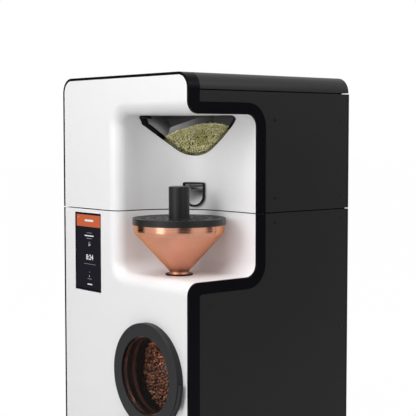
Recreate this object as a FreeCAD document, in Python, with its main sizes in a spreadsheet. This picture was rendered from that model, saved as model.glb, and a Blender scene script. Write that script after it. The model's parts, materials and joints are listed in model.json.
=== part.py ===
import FreeCAD, Part
import math
import os

import Sketcher

"""Coffee roaster: a hopper module with a recessed bean feed, standing on a drum roaster module.

Millimetres. +Z is up, the front face looks toward -Y, +X is to the right. The origin is on the floor,
below the middle of the machine. The driving sizes are the cells of the sheet "dims".
"""

SIZES = [
    ("body_width", 620.0, "width over the side trims"),
    ("body_depth", 628.5, "front face to rear panel"),
    ("front_to_origin", 300.0, "front face ahead of the origin"),
    ("seam_height", 770.0, "floor to the seam between the modules"),
    ("upper_height", 395.0, "seam to the top"),
    ("seam_gap", 3.0, "gap between the skins of the two modules"),
    ("foot_height", 28.0, "floor to the base pan"),
    ("edge_trim", 8.0, "black edge seen from the front"),
    ("front_band", 38.0, "black edge seen from the side"),
    ("recess_band", 32.0, "black band around the open side of the recess"),
    ("corner_radius", 45.0, "top corners of the front outline"),
    ("shell_wall", 4.0, "wall of the white mouldings"),
    ("shell_flange", 36.0, "depth of the flange of the white mouldings"),
    ("panel_sheet", 2.0, "sheet of the side panels"),
    ("panel_step", 0.8, "side panels set in from the trim"),
    ("panel_gap", 1.0, "gap around the side panels"),
    ("rear_wrap", 9.0, "rear panel folded round to the sides"),
    ("rear_sheet", 1.5, "sheet of the rear panels"),
    ("cap_height", 46.5, "height of the top cap"),
    ("cap_sheet", 2.5, "sheet of the top cap"),
    ("recess_side", 30.0, "left wall of the recess, left of the middle"),
    ("recess_sweep", 175.0, "radius of the swept rear corner"),
    ("recess_depth", 250.0, "front face to the back wall of the recess"),
    ("recess_up", 281.0, "seam to the ceiling of the recess"),
    ("recess_down", 179.0, "seam to the floor of the recess"),
    ("recess_round", 35.0, "rounding of the recess's corners"),
    ("feed_angle", 30.0, "direction of the bean feed, from straight ahead"),
    ("window_half", 148.0, "half width of the top of the hopper window"),
    ("window_shift", 7.0, "top of the hopper window, right of its lowest point"),
    ("window_corner", 11.0, "top corners of the hopper window"),
    ("window_rise", 161.0, "seam to the lowest point of the window"),
    ("window_arc", 95.0, "radius of the window's lowest arc"),
    ("window_arc_half", 57.0, "half width of that arc"),
    ("window_side_arc", 700.0, "radius of the window's side edges"),
    ("window_border", 9.0, "smoked border of the window"),
    ("pane_sheet", 4.0, "thickness of the window pane"),
    ("hopper_sheet", 1.5, "sheet of the green bean hopper"),
    ("hopper_top", 334.0, "seam to the rim of the hopper"),
    ("hopper_mouth_half", 36.0, "half width of the hopper outlet"),
    ("hopper_mouth_deep", 70.0, "depth of the hopper outlet"),
    ("hopper_clear", 16.0, "hopper outlet behind the shell"),
    ("hopper_side_slope", 43.0, "slope of the hopper's side walls"),
    ("hopper_back_slope", 52.0, "slope of the hopper's back wall"),
    ("feeder_radius", 40.0, "radius of the feeder wheel"),
    ("feeder_drop", 48.0, "hopper outlet to the feeder wheel's axis"),
    ("feeder_vanes", 6.0, "vanes of the feeder wheel"),
    ("port_half", 34.5, "half width of the feed port"),
    ("port_low", 8.7, "seam to the lowest point of the port"),
    ("port_high", 82.0, "seam to the top of the port"),
    ("port_rim", 5.5, "width of the port's black rim"),
    ("port_reach", 8.0, "rim in front of the wall"),
    ("drum_x", 134.0, "drum, door and funnel axis, right of the middle"),
    ("drum_drop", 458.0, "seam down to the drum axis"),
    ("funnel_back", 106.0, "front face to the funnel axis"),
    ("funnel_radius", 130.5, "rim of the funnel"),
    ("funnel_neck", 28.0, "neck of the funnel"),
    ("funnel_sheet", 1.5, "sheet of the funnel"),
    ("funnel_band", 38.0, "height of the straight band of the funnel"),
    ("funnel_foot", 7.0, "height of the funnel's neck"),
    ("gasket_radius", 40.0, "flange of the funnel gasket"),
    ("gasket_height", 4.0, "height of the funnel gasket"),
    ("lid_radius", 134.5, "perforated lid"),
    ("lid_rim", 19.0, "height of the lid's rim"),
    ("lid_plate", 4.0, "thickness of the lid's plate"),
    ("lid_drop", 14.0, "seam down to the top of the lid"),
    ("lid_slot", 7.0, "width of a slot in the lid"),
    ("lid_slot_long", 20.0, "length of a slot in the lid"),
    ("knob_radius", 30.0, "knob of the lid"),
    ("knob_height", 90.0, "height of the knob"),
    ("chute_radius", 25.0, "bore of the charge chute"),
    ("screen_wide", 137.0, "glass of the touch screen"),
    ("screen_tall", 237.0, "glass of the touch screen"),
    ("screen_left", 178.0, "middle of the screen, left of the middle"),
    ("screen_drop", 13.0, "seam down to the top of the screen"),
    ("screen_glass", 3.0, "thickness of the screen glass"),
    ("screen_box", 26.0, "depth of the screen module"),
    ("door_radius", 150.0, "outside of the door ring"),
    ("door_bore", 112.0, "opening of the door ring"),
    ("door_thick", 21.0, "depth of the door ring"),
    ("door_wall", 3.0, "wall of the door ring"),
    ("door_glass", 4.0, "thickness of the door glass"),
    ("head_barrel", 122.0, "barrel of the drum head"),
    ("head_depth", 62.0, "front face to the rear of the drum head"),
    ("drum_radius", 140.0, "outside of the drum"),
    ("drum_sheet", 2.0, "wall of the drum"),
    ("drum_length", 250.0, "length of the drum"),
    ("drum_vanes", 6.0, "mixing vanes in the drum"),
    ("drum_vane", 13.0, "height of a mixing vane"),
    ("casing_radius", 150.0, "outside of the drum casing"),
    ("casing_wall", 5.0, "wall of the drum casing"),
    ("shaft_radius", 10.0, "drum shaft"),
    ("drum_pulley", 60.0, "radius of the drum pulley"),
    ("motor_pulley", 20.0, "radius of the motor pulley"),
    ("belt_width", 10.0, "width of the drive belt"),
    ("belt_thick", 3.0, "thickness of the drive belt"),
    ("motor_radius", 42.0, "drum motor"),
    ("motor_length", 110.0, "drum motor"),
    ("blower_radius", 62.0, "blower wheel"),
    ("blower_width", 46.0, "blower wheel"),
    ("blower_blades", 18.0, "blades of the blower wheel"),
    ("drawer_wide", 316.0, "front of the bean drawer"),
    ("drawer_tall", 78.0, "front of the bean drawer"),
    ("drawer_low", 58.0, "floor to the drawer's front"),
    ("drawer_deep", 400.0, "length of the bean drawer"),
    ("drawer_sheet", 1.5, "sheet of the bean drawer"),
    ("frame_bar", 14.0, "width of the chassis bars"),
    ("frame_deep", 30.0, "depth of the chassis posts"),
    ("funnel_round", 24.0, "rounding between the funnel's band and cone"),
    ("spigot_deep", 6.0, "funnel spigot in the gasket"),
    ("lid_skirt", 3.0, "wall of the lid's rim"),
    ("lid_inner_count", 16.0, "holes in the inner ring of the lid"),
    ("lid_middle_count", 28.0, "holes in the middle ring of the lid"),
    ("lid_outer_count", 40.0, "holes in the outer ring of the lid"),
    ("pane_behind", 1.5, "window pane behind the wall of the recess"),
    ("hopper_behind", 14.0, "hopper behind the wall of the recess"),
    ("hopper_side_room", 22.0, "hopper clear of the right side"),
    ("bean_line", 182.0, "seam to the green beans at the window"),
    ("bean_crest", 252.0, "seam to the top of the green beans"),
    ("bean_rear", 205.0, "seam to the green beans at the back of the hopper"),
    ("feeder_wall", 2.0, "wall of the feeder housing"),
    ("feeder_shaft", 5.0, "shaft of the feeder wheel"),
    ("feeder_motor", 74.0, "length of the feeder motor"),
    ("chute_rise", 36.0, "rise of the feed chute"),
    ("screen_proud", 0.6, "screen glass in front of the moulding"),
    ("door_pull", 13.0, "pull of the door, outside the ring"),
    ("hinge_half", 20.0, "half height of the door hinge"),
    ("hinge_barrel", 4.0, "knuckles of the door hinge"),
    ("hinge_pin", 1.8, "pin of the door hinge"),
    ("head_step", 6.0, "step in the bore of the drum head"),
    ("spout_half", 40.0, "half width of the discharge spout"),
    ("spout_drop", 22.0, "discharge spout below the casing"),
    ("pipe_radius", 34.0, "exhaust pipe"),
    ("duct_deep", 54.0, "depth of the hot air duct"),
    ("duct_high", 54.0, "height of the hot air duct"),
    ("duct_long", 70.0, "length of the heated duct, at the middle of the drum"),
    ("blower_shaft", 4.0, "shaft of the blower"),
    ("blower_motor", 60.0, "length of the blower motor"),
    ("filter_deep", 120.0, "depth of the exhaust filter"),
    ("filter_half", 75.0, "half width of the exhaust filter"),
    ("filter_pleats", 16.0, "pleats of the exhaust filter"),
    ("drawer_front", 14.0, "drawer front behind the front face"),
    ("drawer_proud", 3.0, "drawer front ahead of the front face"),
    ("drawer_side", 12.0, "drawer tray in from the ends of its front"),
    ("tray_up", 5.0, "drawer tray over the foot of its front"),
    ("tray_down", 8.0, "drawer tray below the top of its front"),
    ("base_sheet", 2.0, "sheet of the base pan"),
    ("foot_radius", 22.0, "rubber feet"),
    ("play", 0.5, "clearance between loose fits"),
    ("run_clear", 0.3, "clearance beside moving faces"),
    ("shaft_clear", 0.05, "clearance of a running shaft"),
]


class Size:
    """A length or angle that carries both its number and the formula that it comes from."""

    def __init__(self, number, formula):
        self.number = float(number)
        self.formula = formula

    def _with(self, other, sign, number, turned=False):
        left, right = self.formula, text_of(other)
        if turned:
            left, right = right, left
        return Size(number, "(" + left + " " + sign + " " + right + ")")

    def __add__(self, other):
        return self._with(other, "+", self.number + number_of(other))

    def __radd__(self, other):
        return self._with(other, "+", number_of(other) + self.number, True)

    def __sub__(self, other):
        return self._with(other, "-", self.number - number_of(other))

    def __rsub__(self, other):
        return self._with(other, "-", number_of(other) - self.number, True)

    def __mul__(self, other):
        return self._with(other, "*", self.number * number_of(other))

    def __rmul__(self, other):
        return self._with(other, "*", number_of(other) * self.number, True)

    def __truediv__(self, other):
        return self._with(other, "/", self.number / number_of(other))

    def __neg__(self):
        return Size(-self.number, "(0 - " + self.formula + ")")

    def __float__(self):
        return self.number


def number_of(value):
    """The number of a Size or of a plain number."""
    return float(value)


def text_of(value):
    """The formula of a Size, or a plain number as text."""
    return value.formula if isinstance(value, Size) else repr(float(value))


class Sizes:
    """The cells of the sheet, as Size attributes."""

    def __init__(self, sheet, rows):
        for row, (alias, value, note) in enumerate(rows, start=1):
            sheet.set("A" + str(row), note)
            sheet.set("B" + str(row), str(value))
            sheet.setAlias("B" + str(row), alias)
            setattr(self, alias, Size(value, sheet.Name + "." + alias))


doc = FreeCAD.newDocument("coffee_roaster")
dims_sheet = doc.addObject("Spreadsheet::Sheet", "dims")
d = Sizes(dims_sheet, SIZES)
doc.recompute()

NODES = {}
X_AXIS = FreeCAD.Vector(1, 0, 0)
Y_AXIS = FreeCAD.Vector(0, 1, 0)
Z_AXIS = FreeCAD.Vector(0, 0, 1)
TINY = 0.01


def point(x, y, z):
    """A vector from Sizes or numbers."""
    return FreeCAD.Vector(number_of(x), number_of(y), number_of(z))


def bind(thing, name, value):
    """Set a property to a Size, and tie it to the sheet where the Size has a formula."""
    if isinstance(value, Size):
        thing.setExpression(name, value.formula)
    else:
        base = thing
        *holders, last = name.split(".")
        for holder in holders:
            base = getattr(base, holder)
        setattr(base, last, value)


def place(thing, x=0.0, y=0.0, z=0.0, turn=0.0, axis=Z_AXIS):
    """Put a sub-part at a point, turned about an axis."""
    thing.Placement = FreeCAD.Placement(point(x, y, z), FreeCAD.Rotation(axis, number_of(turn)))
    for name, value in (("x", x), ("y", y), ("z", z)):
        if isinstance(value, Size):
            thing.setExpression("Placement.Base." + name, value.formula)
    if isinstance(turn, Size):
        thing.setExpression("Placement.Rotation.Angle", turn.formula)


def node(label, thing):
    """Name a finished sub-part: its label names its file."""
    thing.Label = label
    NODES[label] = thing
    return thing


# Primitives

def block(name, xs, ys, zs):
    """A box between three pairs of coordinates."""
    box = doc.addObject("Part::Box", name)
    for prop, (low, high) in (("Length", xs), ("Width", ys), ("Height", zs)):
        bind(box, prop, high - low)
    place(box, xs[0], ys[0], zs[0])
    return box


def rod(name, radius, length, x, y, z, axis="Z"):
    """A cylinder from a point along an axis."""
    cylinder = doc.addObject("Part::Cylinder", name)
    bind(cylinder, "Radius", radius)
    bind(cylinder, "Height", length)
    turns = {"Z": (0.0, Z_AXIS), "Y": (-90.0, X_AXIS), "X": (90.0, Y_AXIS)}
    place(cylinder, x, y, z, *turns[axis])
    return cylinder


def fused(name, things):
    """One solid from several."""
    union = doc.addObject("Part::MultiFuse", name)
    union.Shapes = things
    return union


def cut(name, base, tool):
    """A solid less another."""
    result = doc.addObject("Part::Cut", name)
    result.Base = base
    result.Tool = tool
    return result


def group(name, things):
    """Several separate solids in one node."""
    compound = doc.addObject("Part::Compound", name)
    compound.Links = things
    return compound


def shaped(label, shape):
    """A sub-part whose shape is worked out by Part's own functions."""
    feature = doc.addObject("Part::Feature", label)
    feature.Shape = shape
    return node(label, feature)


# Sketched bodies

def ring(x, y, radius):
    """A circle of an outline."""
    return ("ring", x, y, radius)


def rectangle(low_x, high_x, low_y, high_y, radius=0.0):
    """A rectangle of an outline, with its corners rounded if it has a radius."""
    return [(low_x, low_y, radius), (high_x, low_y, radius),
            (high_x, high_y, radius), (low_x, high_y, radius)]


def tie(sketch, kind, geometry, end, value):
    """A dimension of a sketch, tied to the sheet."""
    if end is None:
        index = sketch.addConstraint(Sketcher.Constraint(kind, geometry, number_of(value)))
    else:
        index = sketch.addConstraint(Sketcher.Constraint(kind, geometry, end, number_of(value)))
    if isinstance(value, Size):
        sketch.setExpression("Constraints[" + str(index) + "]", value.formula)


def draw_ring(sketch, loop):
    """Add a circle."""
    _, x, y, radius = loop
    circle = Part.Circle(point(x, y, 0), Z_AXIS, number_of(radius))
    index = sketch.addGeometry(circle, False)
    tie(sketch, "DistanceX", index, 3, x)
    tie(sketch, "DistanceY", index, 3, y)
    tie(sketch, "Radius", index, None, radius)


def draw_polygon(sketch, loop):
    """Add a closed outline of straight lines, with an arc at each corner that has a radius."""
    corners = [(point(c[0], c[1], 0), number_of(c[2]) if len(c) > 2 else 0.0) for c in loop]
    count = len(corners)
    starts, ends, centres = [], [], []
    for index, (corner, radius) in enumerate(corners):
        back = (corners[index - 1][0] - corner).normalize()
        ahead = (corners[(index + 1) % count][0] - corner).normalize()
        half = back.getAngle(ahead) / 2
        reach = radius / math.tan(half)
        starts.append(corner + ahead * reach)
        ends.append(corner + back * reach)
        centre = corner + (back + ahead).normalize() * (radius / math.sin(half)) if radius else None
        centres.append(centre)
    lines = []
    for index in range(count):
        line = Part.LineSegment(starts[index], ends[(index + 1) % count])
        lines.append(sketch.addGeometry(line, False))
    for index, (corner, radius) in enumerate(corners):
        before, after = lines[index - 1], lines[index]
        if not radius:
            sketch.addConstraint(Sketcher.Constraint("Coincident", before, 2, after, 1))
            tie(sketch, "DistanceX", after, 1, loop[index][0])
            tie(sketch, "DistanceY", after, 1, loop[index][1])
            continue
        centre = centres[index]
        first = math.atan2(ends[index].y - centre.y, ends[index].x - centre.x)
        last = math.atan2(starts[index].y - centre.y, starts[index].x - centre.x)
        left = (last - first) % (2 * math.pi) < math.pi
        low, high = (first, last) if left else (last, first)
        if high < low:
            high += 2 * math.pi
        arc = Part.ArcOfCircle(Part.Circle(centre, Z_AXIS, radius), low, high)
        curve = sketch.addGeometry(arc, False)
        near, far = (1, 2) if left else (2, 1)
        sketch.addConstraint(Sketcher.Constraint("Tangent", before, 2, curve, near))
        sketch.addConstraint(Sketcher.Constraint("Tangent", curve, far, after, 1))
        tie(sketch, "Radius", curve, None, loop[index][2])
        spot = sketch.addGeometry(Part.Point(corner), True)
        tie(sketch, "DistanceX", spot, 1, loop[index][0])
        tie(sketch, "DistanceY", spot, 1, loop[index][1])
        sketch.addConstraint(Sketcher.Constraint("PointOnObject", spot, 1, before))
        sketch.addConstraint(Sketcher.Constraint("PointOnObject", spot, 1, after))


class Piece:
    """A sub-part as a body, built feature by feature."""

    def __init__(self, label):
        self.body = doc.addObject("PartDesign::Body", label)
        self.count = 0
        node(label, self.body)

    def name(self, kind):
        """The next feature's name."""
        self.count += 1
        return self.body.Name + "_" + kind + str(self.count)

    def sketch(self, plane, level, loops):
        """A sketch on one of the body's planes, at a level along that plane's normal."""
        sketch = self.body.newObject("Sketcher::SketchObject", self.name("sketch"))
        role = plane + "_Plane"
        origin_plane = [f for f in self.body.Origin.OriginFeatures if f.Role == role][0]
        sketch.AttachmentSupport = (origin_plane, "")
        sketch.MapMode = "FlatFace"
        sketch.AttachmentOffset = FreeCAD.Placement(point(0, 0, level), FreeCAD.Rotation())
        if isinstance(level, Size):
            sketch.setExpression("AttachmentOffset.Base.z", level.formula)
        for loop in loops:
            if loop[0] == "ring":
                draw_ring(sketch, loop)
            else:
                draw_polygon(sketch, loop)
        return sketch

    def pad(self, plane, low, high, *loops):
        """Extrude outlines from a low to a high coordinate across a plane."""
        level = -high if plane == "XZ" else low
        profile = self.sketch(plane, level, loops)
        pad = self.body.newObject("PartDesign::Pad", self.name("pad"))
        pad.Profile = profile
        bind(pad, "Length", high - low)
        return pad

    def pocket(self, plane, low, high, *loops):
        """Cut outlines away from a low to a high coordinate across a plane."""
        level = -low if plane == "XZ" else high
        profile = self.sketch(plane, level, loops)
        pocket = self.body.newObject("PartDesign::Pocket", self.name("pocket"))
        pocket.Profile = profile
        bind(pocket, "Length", high - low)
        return pocket

    def spin(self, plane, axis, *loops):
        """Turn outlines about an axis of their sketch."""
        profile = self.sketch(plane, 0.0, loops)
        turned = self.body.newObject("PartDesign::Revolution", self.name("turned"))
        turned.Profile = profile
        turned.ReferenceAxis = (profile, [axis])
        turned.Angle = 360.0
        return turned

    def around(self, feature, plane, axis, copies):
        """Repeat a feature around an axis of one of its sketch's directions."""
        pattern = self.body.newObject("PartDesign::PolarPattern", self.name("around"))
        pattern.Originals = [feature]
        pattern.Axis = (feature.Profile[0], [axis])
        pattern.Angle = 360.0
        bind(pattern, "Occurrences", copies if isinstance(copies, Size) else int(copies))
        self.body.Tip = pattern
        return pattern

    def along(self, feature, direction, length, copies):
        """Repeat a feature along a direction of its sketch."""
        pattern = self.body.newObject("PartDesign::LinearPattern", self.name("along"))
        pattern.Originals = [feature]
        pattern.Direction = (feature.Profile[0], [direction])
        bind(pattern, "Length", length)
        bind(pattern, "Occurrences", copies if isinstance(copies, Size) else int(copies))
        self.body.Tip = pattern
        return pattern

    def round(self, radius, wanted):
        """Fillet the edges of the body that a test on their middle point picks."""
        doc.recompute()
        base = self.body.Tip
        names = ["Edge" + str(i) for i, edge in enumerate(base.Shape.Edges, start=1)
                 if wanted(edge.valueAt((edge.FirstParameter + edge.LastParameter) / 2))]
        fillet = self.body.newObject("PartDesign::Fillet", self.name("round"))
        fillet.Base = (base, names)
        bind(fillet, "Radius", radius)
        return fillet


def near(value, target):
    """Whether two coordinates are the same."""
    return abs(number_of(value) - number_of(target)) < TINY


# Places that several sub-parts share

FRONT = -d.front_to_origin
REAR = FRONT + d.body_depth
SEAM = d.seam_height
TOP = SEAM + d.upper_height
BASE = d.foot_height
HALF = d.body_width / 2
INNER = HALF - d.edge_trim
OVER = SEAM + d.seam_gap / 2
UNDER = SEAM - d.seam_gap / 2
CEILING = SEAM + d.recess_up
FLOOR = SEAM - d.recess_down
BACK = FRONT + d.recess_depth
SWEEP_X = d.recess_sweep - d.recess_side
SWEEP_Y = BACK - d.recess_sweep
CAP_LOW = TOP - d.cap_height
SKIN_TOP = CAP_LOW - d.seam_gap
PANEL_OUT = HALF - d.panel_step
PANEL_IN = PANEL_OUT - d.panel_sheet
AXIS_X = d.drum_x
AXIS_Z = SEAM - d.drum_drop
DRAWER_X = HALF - d.edge_trim - 10.0 - d.drawer_wide / 2
FUNNEL_Y = FRONT + d.funnel_back
BASE_TOP = BASE + d.base_sheet
HEAD_FACE = d.shell_wall
HEAD_BOSS_UP = 14.0
BOSS_FACE = HEAD_FACE + 4.0
SPIGOT_CLEAR = 1.0
INTAKE_WALL = 4.0
GASKET_STEM = 12.0
MOUTH_RISE = d.window_rise - d.window_border - 2.0
HOPPER_AHEAD = 100.0
BEANS_WIDE = 240.0
CROWN_RADIUS = 296.0
CROWN_SHIFT = 24.0
FEEDER_RISE = MOUTH_RISE - d.feeder_drop
FEEDER_B = d.hopper_clear + d.hopper_mouth_deep / 2
HINGE_X = AXIS_X - d.door_radius + d.door_wall + d.hinge_barrel + 2.5
HINGE_Y = FRONT - 12.0
DOOR_RELIEF = 55.0
DRUM_FRONT = d.head_depth + 3.0
DRUM_REAR = DRUM_FRONT + d.drum_length
CASING_REAR = DRUM_REAR + 24.0
BEARING_OUT = d.shaft_radius + 9.0
BELT_BACK = CASING_REAR + 66.0
MOTOR_X = AXIS_X - 254.0
MOTOR_Z = AXIS_Z - 162.0
MOTOR_SHAFT = 6.0
BEAN_LEAN = 32.0
BEAN_EDGE = 5.0
BEAN_ROOM = 4.0
BEAN_LONG = 150.0
BLOWER_X = -165.0
BLOWER_Z = AXIS_Z - d.blower_radius - 12.0 + d.duct_high
BLOWER_BACK = 240.0
PIPE_BACK = 210.0
LOUVRE_LOW = 112.0
LOUVRE_HIGH = 270.0
LOUVRE_SPAN = LOUVRE_HIGH - LOUVRE_LOW - 14.0
PLEAT = 22.0
POST_FRONT = 78.0
POST_MIDDLE = 319.0
POST_REAR = 597.0
FOOT_X = 250.0
FOOT_Y = 230.0
LEAF = 1.0
SEAM_STOP = 9.0
CAP_STOP = 2.0
ROCKER_Y = REAR - 6.0
ROCKER_REST = 8.0
ROCKER_PIVOT = 1.6
SHANK_BEYOND = 6.0


# White front mouldings

def recess_void(grow):
    """The space of the recess, grown by a wall on its closed sides, with rounded corners."""
    grow = number_of(grow)
    side = -number_of(d.recess_side) - grow
    back = number_of(BACK) + grow
    middle_x, middle_y = number_of(SWEEP_X), number_of(SWEEP_Y)
    radius = number_of(d.recess_sweep) + grow
    ahead = number_of(FRONT) - 80.0
    right = number_of(HALF) + 80.0
    floor = number_of(FLOOR) - grow
    ceiling = number_of(CEILING) + grow
    slant = radius * math.sqrt(0.5)
    corners = [point(side, ahead, floor), point(side, middle_y, floor), point(middle_x, back, floor),
               point(right, back, floor), point(right, ahead, floor)]
    middle = point(middle_x - slant, middle_y + slant, floor)
    edges = [Part.makeLine(corners[0], corners[1]),
             Part.Arc(corners[1], middle, corners[2]).toShape(),
             Part.makeLine(corners[2], corners[3]),
             Part.makeLine(corners[3], corners[4]),
             Part.makeLine(corners[4], corners[0])]
    solid = Part.Face(Part.Wire(edges)).extrude(point(0, 0, ceiling - floor))
    closed = []
    for edge in solid.Edges:
        spot = edge.valueAt((edge.FirstParameter + edge.LastParameter) / 2)
        level = near(spot.z, floor) or near(spot.z, ceiling)
        if level and not near(spot.x, right) and not near(spot.y, ahead):
            closed.append(edge)
    return solid.makeFillet(number_of(d.recess_round) + grow, closed)


def rounded_outline(half, low, high, radius, y):
    """The front outline as a face: straight at the foot, rounded at the top corners."""
    half, low, high, radius, y = (number_of(v) for v in (half, low, high, radius, y))
    slant = radius * (1 - math.sqrt(0.5))
    left = Part.Arc(point(-half, y, high - radius), point(-half + slant, y, high - slant),
                    point(-half + radius, y, high))
    right = Part.Arc(point(half - radius, y, high), point(half - slant, y, high - slant),
                     point(half, y, high - radius))
    edges = [Part.makeLine(point(half, y, low), point(-half, y, low)),
             Part.makeLine(point(-half, y, low), point(-half, y, high - radius)),
             left.toShape(),
             Part.makeLine(point(-half + radius, y, high), point(half - radius, y, high)),
             right.toShape(),
             Part.makeLine(point(half, y, high - radius), point(half, y, low))]
    return Part.Face(Part.Wire(edges))


def white_form(inset, behind):
    """The front of the machine as one solid with the recess in it, set in by a wall."""
    inset = number_of(inset)
    face = rounded_outline(INNER - inset, BASE + d.edge_trim + inset, TOP - d.edge_trim - inset,
                           d.corner_radius - d.edge_trim - inset, FRONT + inset)
    depth = number_of(d.recess_depth) + number_of(behind)
    form = face.extrude(point(0, depth, 0)).cut(recess_void(inset))
    front = number_of(FRONT) + inset
    side = -number_of(d.recess_side) - inset
    low, high = number_of(FLOOR) - inset, number_of(CEILING) + inset
    rim = []
    for edge in form.Edges:
        spot = edge.valueAt((edge.FirstParameter + edge.LastParameter) / 2)
        inside = spot.x > side - TINY and low - TINY < spot.z < high + TINY
        if near(spot.y, front) and inside and not near(spot.x, INNER - inset):
            rim.append(edge)
    return form.makeFillet(number_of(d.recess_round) - inset, rim)


def solid_box(xs, ys, zs):
    """A plain box between coordinates, as a shape."""
    low = point(xs[0], ys[0], zs[0])
    size = point(xs[1], ys[1], zs[1]) - low
    return Part.makeBox(size.x, size.y, size.z, low)


def white_shell():
    """Both mouldings in one: walls around the recess, and a short flange elsewhere."""
    wall = d.shell_wall
    shell = white_form(0.0, 10.0).cut(white_form(wall, 30.0))
    beyond = 20.0
    flange = solid_box((-HALF, HALF), (FRONT - beyond, FRONT + d.shell_flange), (BASE, TOP))
    room = solid_box((-d.recess_side - wall - 1.0, HALF), (FRONT, BACK + wall),
                     (FLOOR - d.recess_band, CEILING + d.recess_band))
    return shell.common(flange.fuse(room)).removeSplitter()


def port_loop(half, low, high, top_radius):
    """The U of the feed port as a face across the feed direction."""
    half, low, high = number_of(half), number_of(low), number_of(high)
    left, right = point(-half, 0, low + half), point(half, 0, low + half)
    edges = [Part.Arc(left, point(0, 0, low), right).toShape(),
             Part.makeLine(point(half, 0, low + half), point(half, 0, high)),
             Part.makeLine(point(half, 0, high), point(-half, 0, high)),
             Part.makeLine(point(-half, 0, high), point(-half, 0, low + half))]
    face = Part.Face(Part.Wire(edges))
    solid = face.extrude(point(0, 1, 0))
    corners = [edge for edge in solid.Edges if near(edge.CenterOfMass.z, high) and near(edge.Length, 1)]
    rounded = solid.makeFillet(number_of(top_radius), corners)
    return [f for f in rounded.Faces if near(f.CenterOfMass.y, 0)][0]


def window_loop(inset):
    """The outline of the hopper window as a face: a low arc, two long arcs and a rounded top."""
    low = number_of(d.window_rise)
    high = number_of(d.recess_up) - 1.0
    arc, half_arc = number_of(d.window_arc), number_of(d.window_arc_half)
    slope = math.asin(half_arc / arc)
    turn = point(half_arc, 0, low + arc - arc * math.cos(slope))
    side = number_of(d.window_side_arc)
    centre = turn + point(-side * math.sin(slope), 0, side * math.cos(slope))
    last = math.acos((centre.z - high) / side)
    tip = centre + point(side * math.sin(last), 0, -side * math.cos(last))
    middle = centre + point(side * math.sin((slope + last) / 2), 0, -side * math.cos((slope + last) / 2))

    def mirrored(spot):
        return point(-spot.x, 0, spot.z)

    edges = [Part.Arc(mirrored(turn), point(0, 0, low), turn).toShape(),
             Part.Arc(turn, middle, tip).toShape(),
             Part.makeLine(tip, mirrored(tip)),
             Part.Arc(mirrored(tip), mirrored(middle), mirrored(turn)).toShape()]
    bound = rounded_outline(d.window_half, low - 10.0, high, d.window_corner, 0.0)
    bound.translate(point(d.window_shift, 0, 0))
    face = Part.Face(Part.Wire(edges)).common(bound).Faces[0]
    if inset:
        face = face.makeOffset2D(-number_of(inset))
    return face


def feed_placement():
    """The local frame of the bean feed: X along the wall, Y away from the viewer, Z from the seam."""
    angle = number_of(d.feed_angle)
    radius = number_of(d.recess_sweep)
    spot = point(number_of(SWEEP_X) - radius * math.sin(math.radians(angle)),
                 number_of(SWEEP_Y) + radius * math.cos(math.radians(angle)), SEAM)
    return FreeCAD.Placement(spot, FreeCAD.Rotation(Z_AXIS, angle))


FEED = feed_placement()


def in_feed(shape):
    """A shape drawn in the feed's frame, moved to its place."""
    moved = shape.copy()
    moved.Placement = FEED.multiply(moved.Placement)
    return moved


def through(face, near_side, far_side):
    """A face across the feed, extruded between two depths."""
    start = face.copy()
    start.translate(point(0, near_side, 0))
    return start.extrude(point(0, far_side - near_side, 0))


WINDOW_NEAR = -150.0
WINDOW_FAR = 40.0


def build_shells():
    """The two white mouldings with their openings."""
    both = white_shell()
    upper = both.common(solid_box((-HALF, HALF), (FRONT - 20.0, REAR), (OVER, TOP)))
    window = in_feed(through(window_loop(0.0), WINDOW_NEAR, WINDOW_FAR))
    port = in_feed(through(port_loop(d.port_half - d.port_rim / 2, d.port_low + d.port_rim / 2,
                                     d.port_high - d.port_rim / 2, 4.0), -40.0, 40.0))
    shaped("upper_front_shell", upper.cut(window).cut(port))
    lower = both.common(solid_box((-HALF, HALF), (FRONT - 20.0, REAR), (BASE, UNDER)))
    gap = d.play
    reach = d.screen_wide / 2 + gap
    screen = solid_box((-d.screen_left - reach, -d.screen_left + reach), (FRONT - 10.0, FRONT + 20.0),
                       (SEAM - d.screen_drop - d.screen_tall - gap, SEAM - d.screen_drop + gap))
    door = Part.makeCylinder(number_of(d.head_barrel + gap), 60.0,
                             point(AXIS_X, FRONT - 20.0, AXIS_Z), Y_AXIS)
    drawer = solid_box((DRAWER_X - d.drawer_wide / 2 - gap * 2, DRAWER_X + d.drawer_wide / 2 + gap * 2),
                       (FRONT - 10.0, FRONT + 60.0),
                       (d.drawer_low - gap * 2, d.drawer_low + d.drawer_tall + gap * 2))
    intake = Part.makeCylinder(number_of(d.chute_radius + 4.0), 60.0,
                               point(AXIS_X, FUNNEL_Y, FLOOR - 30.0), Z_AXIS)
    for opening in (screen, door, drawer, intake):
        lower = lower.cut(opening)
    shaped("lower_front_shell", lower)


# Black trims

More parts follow.
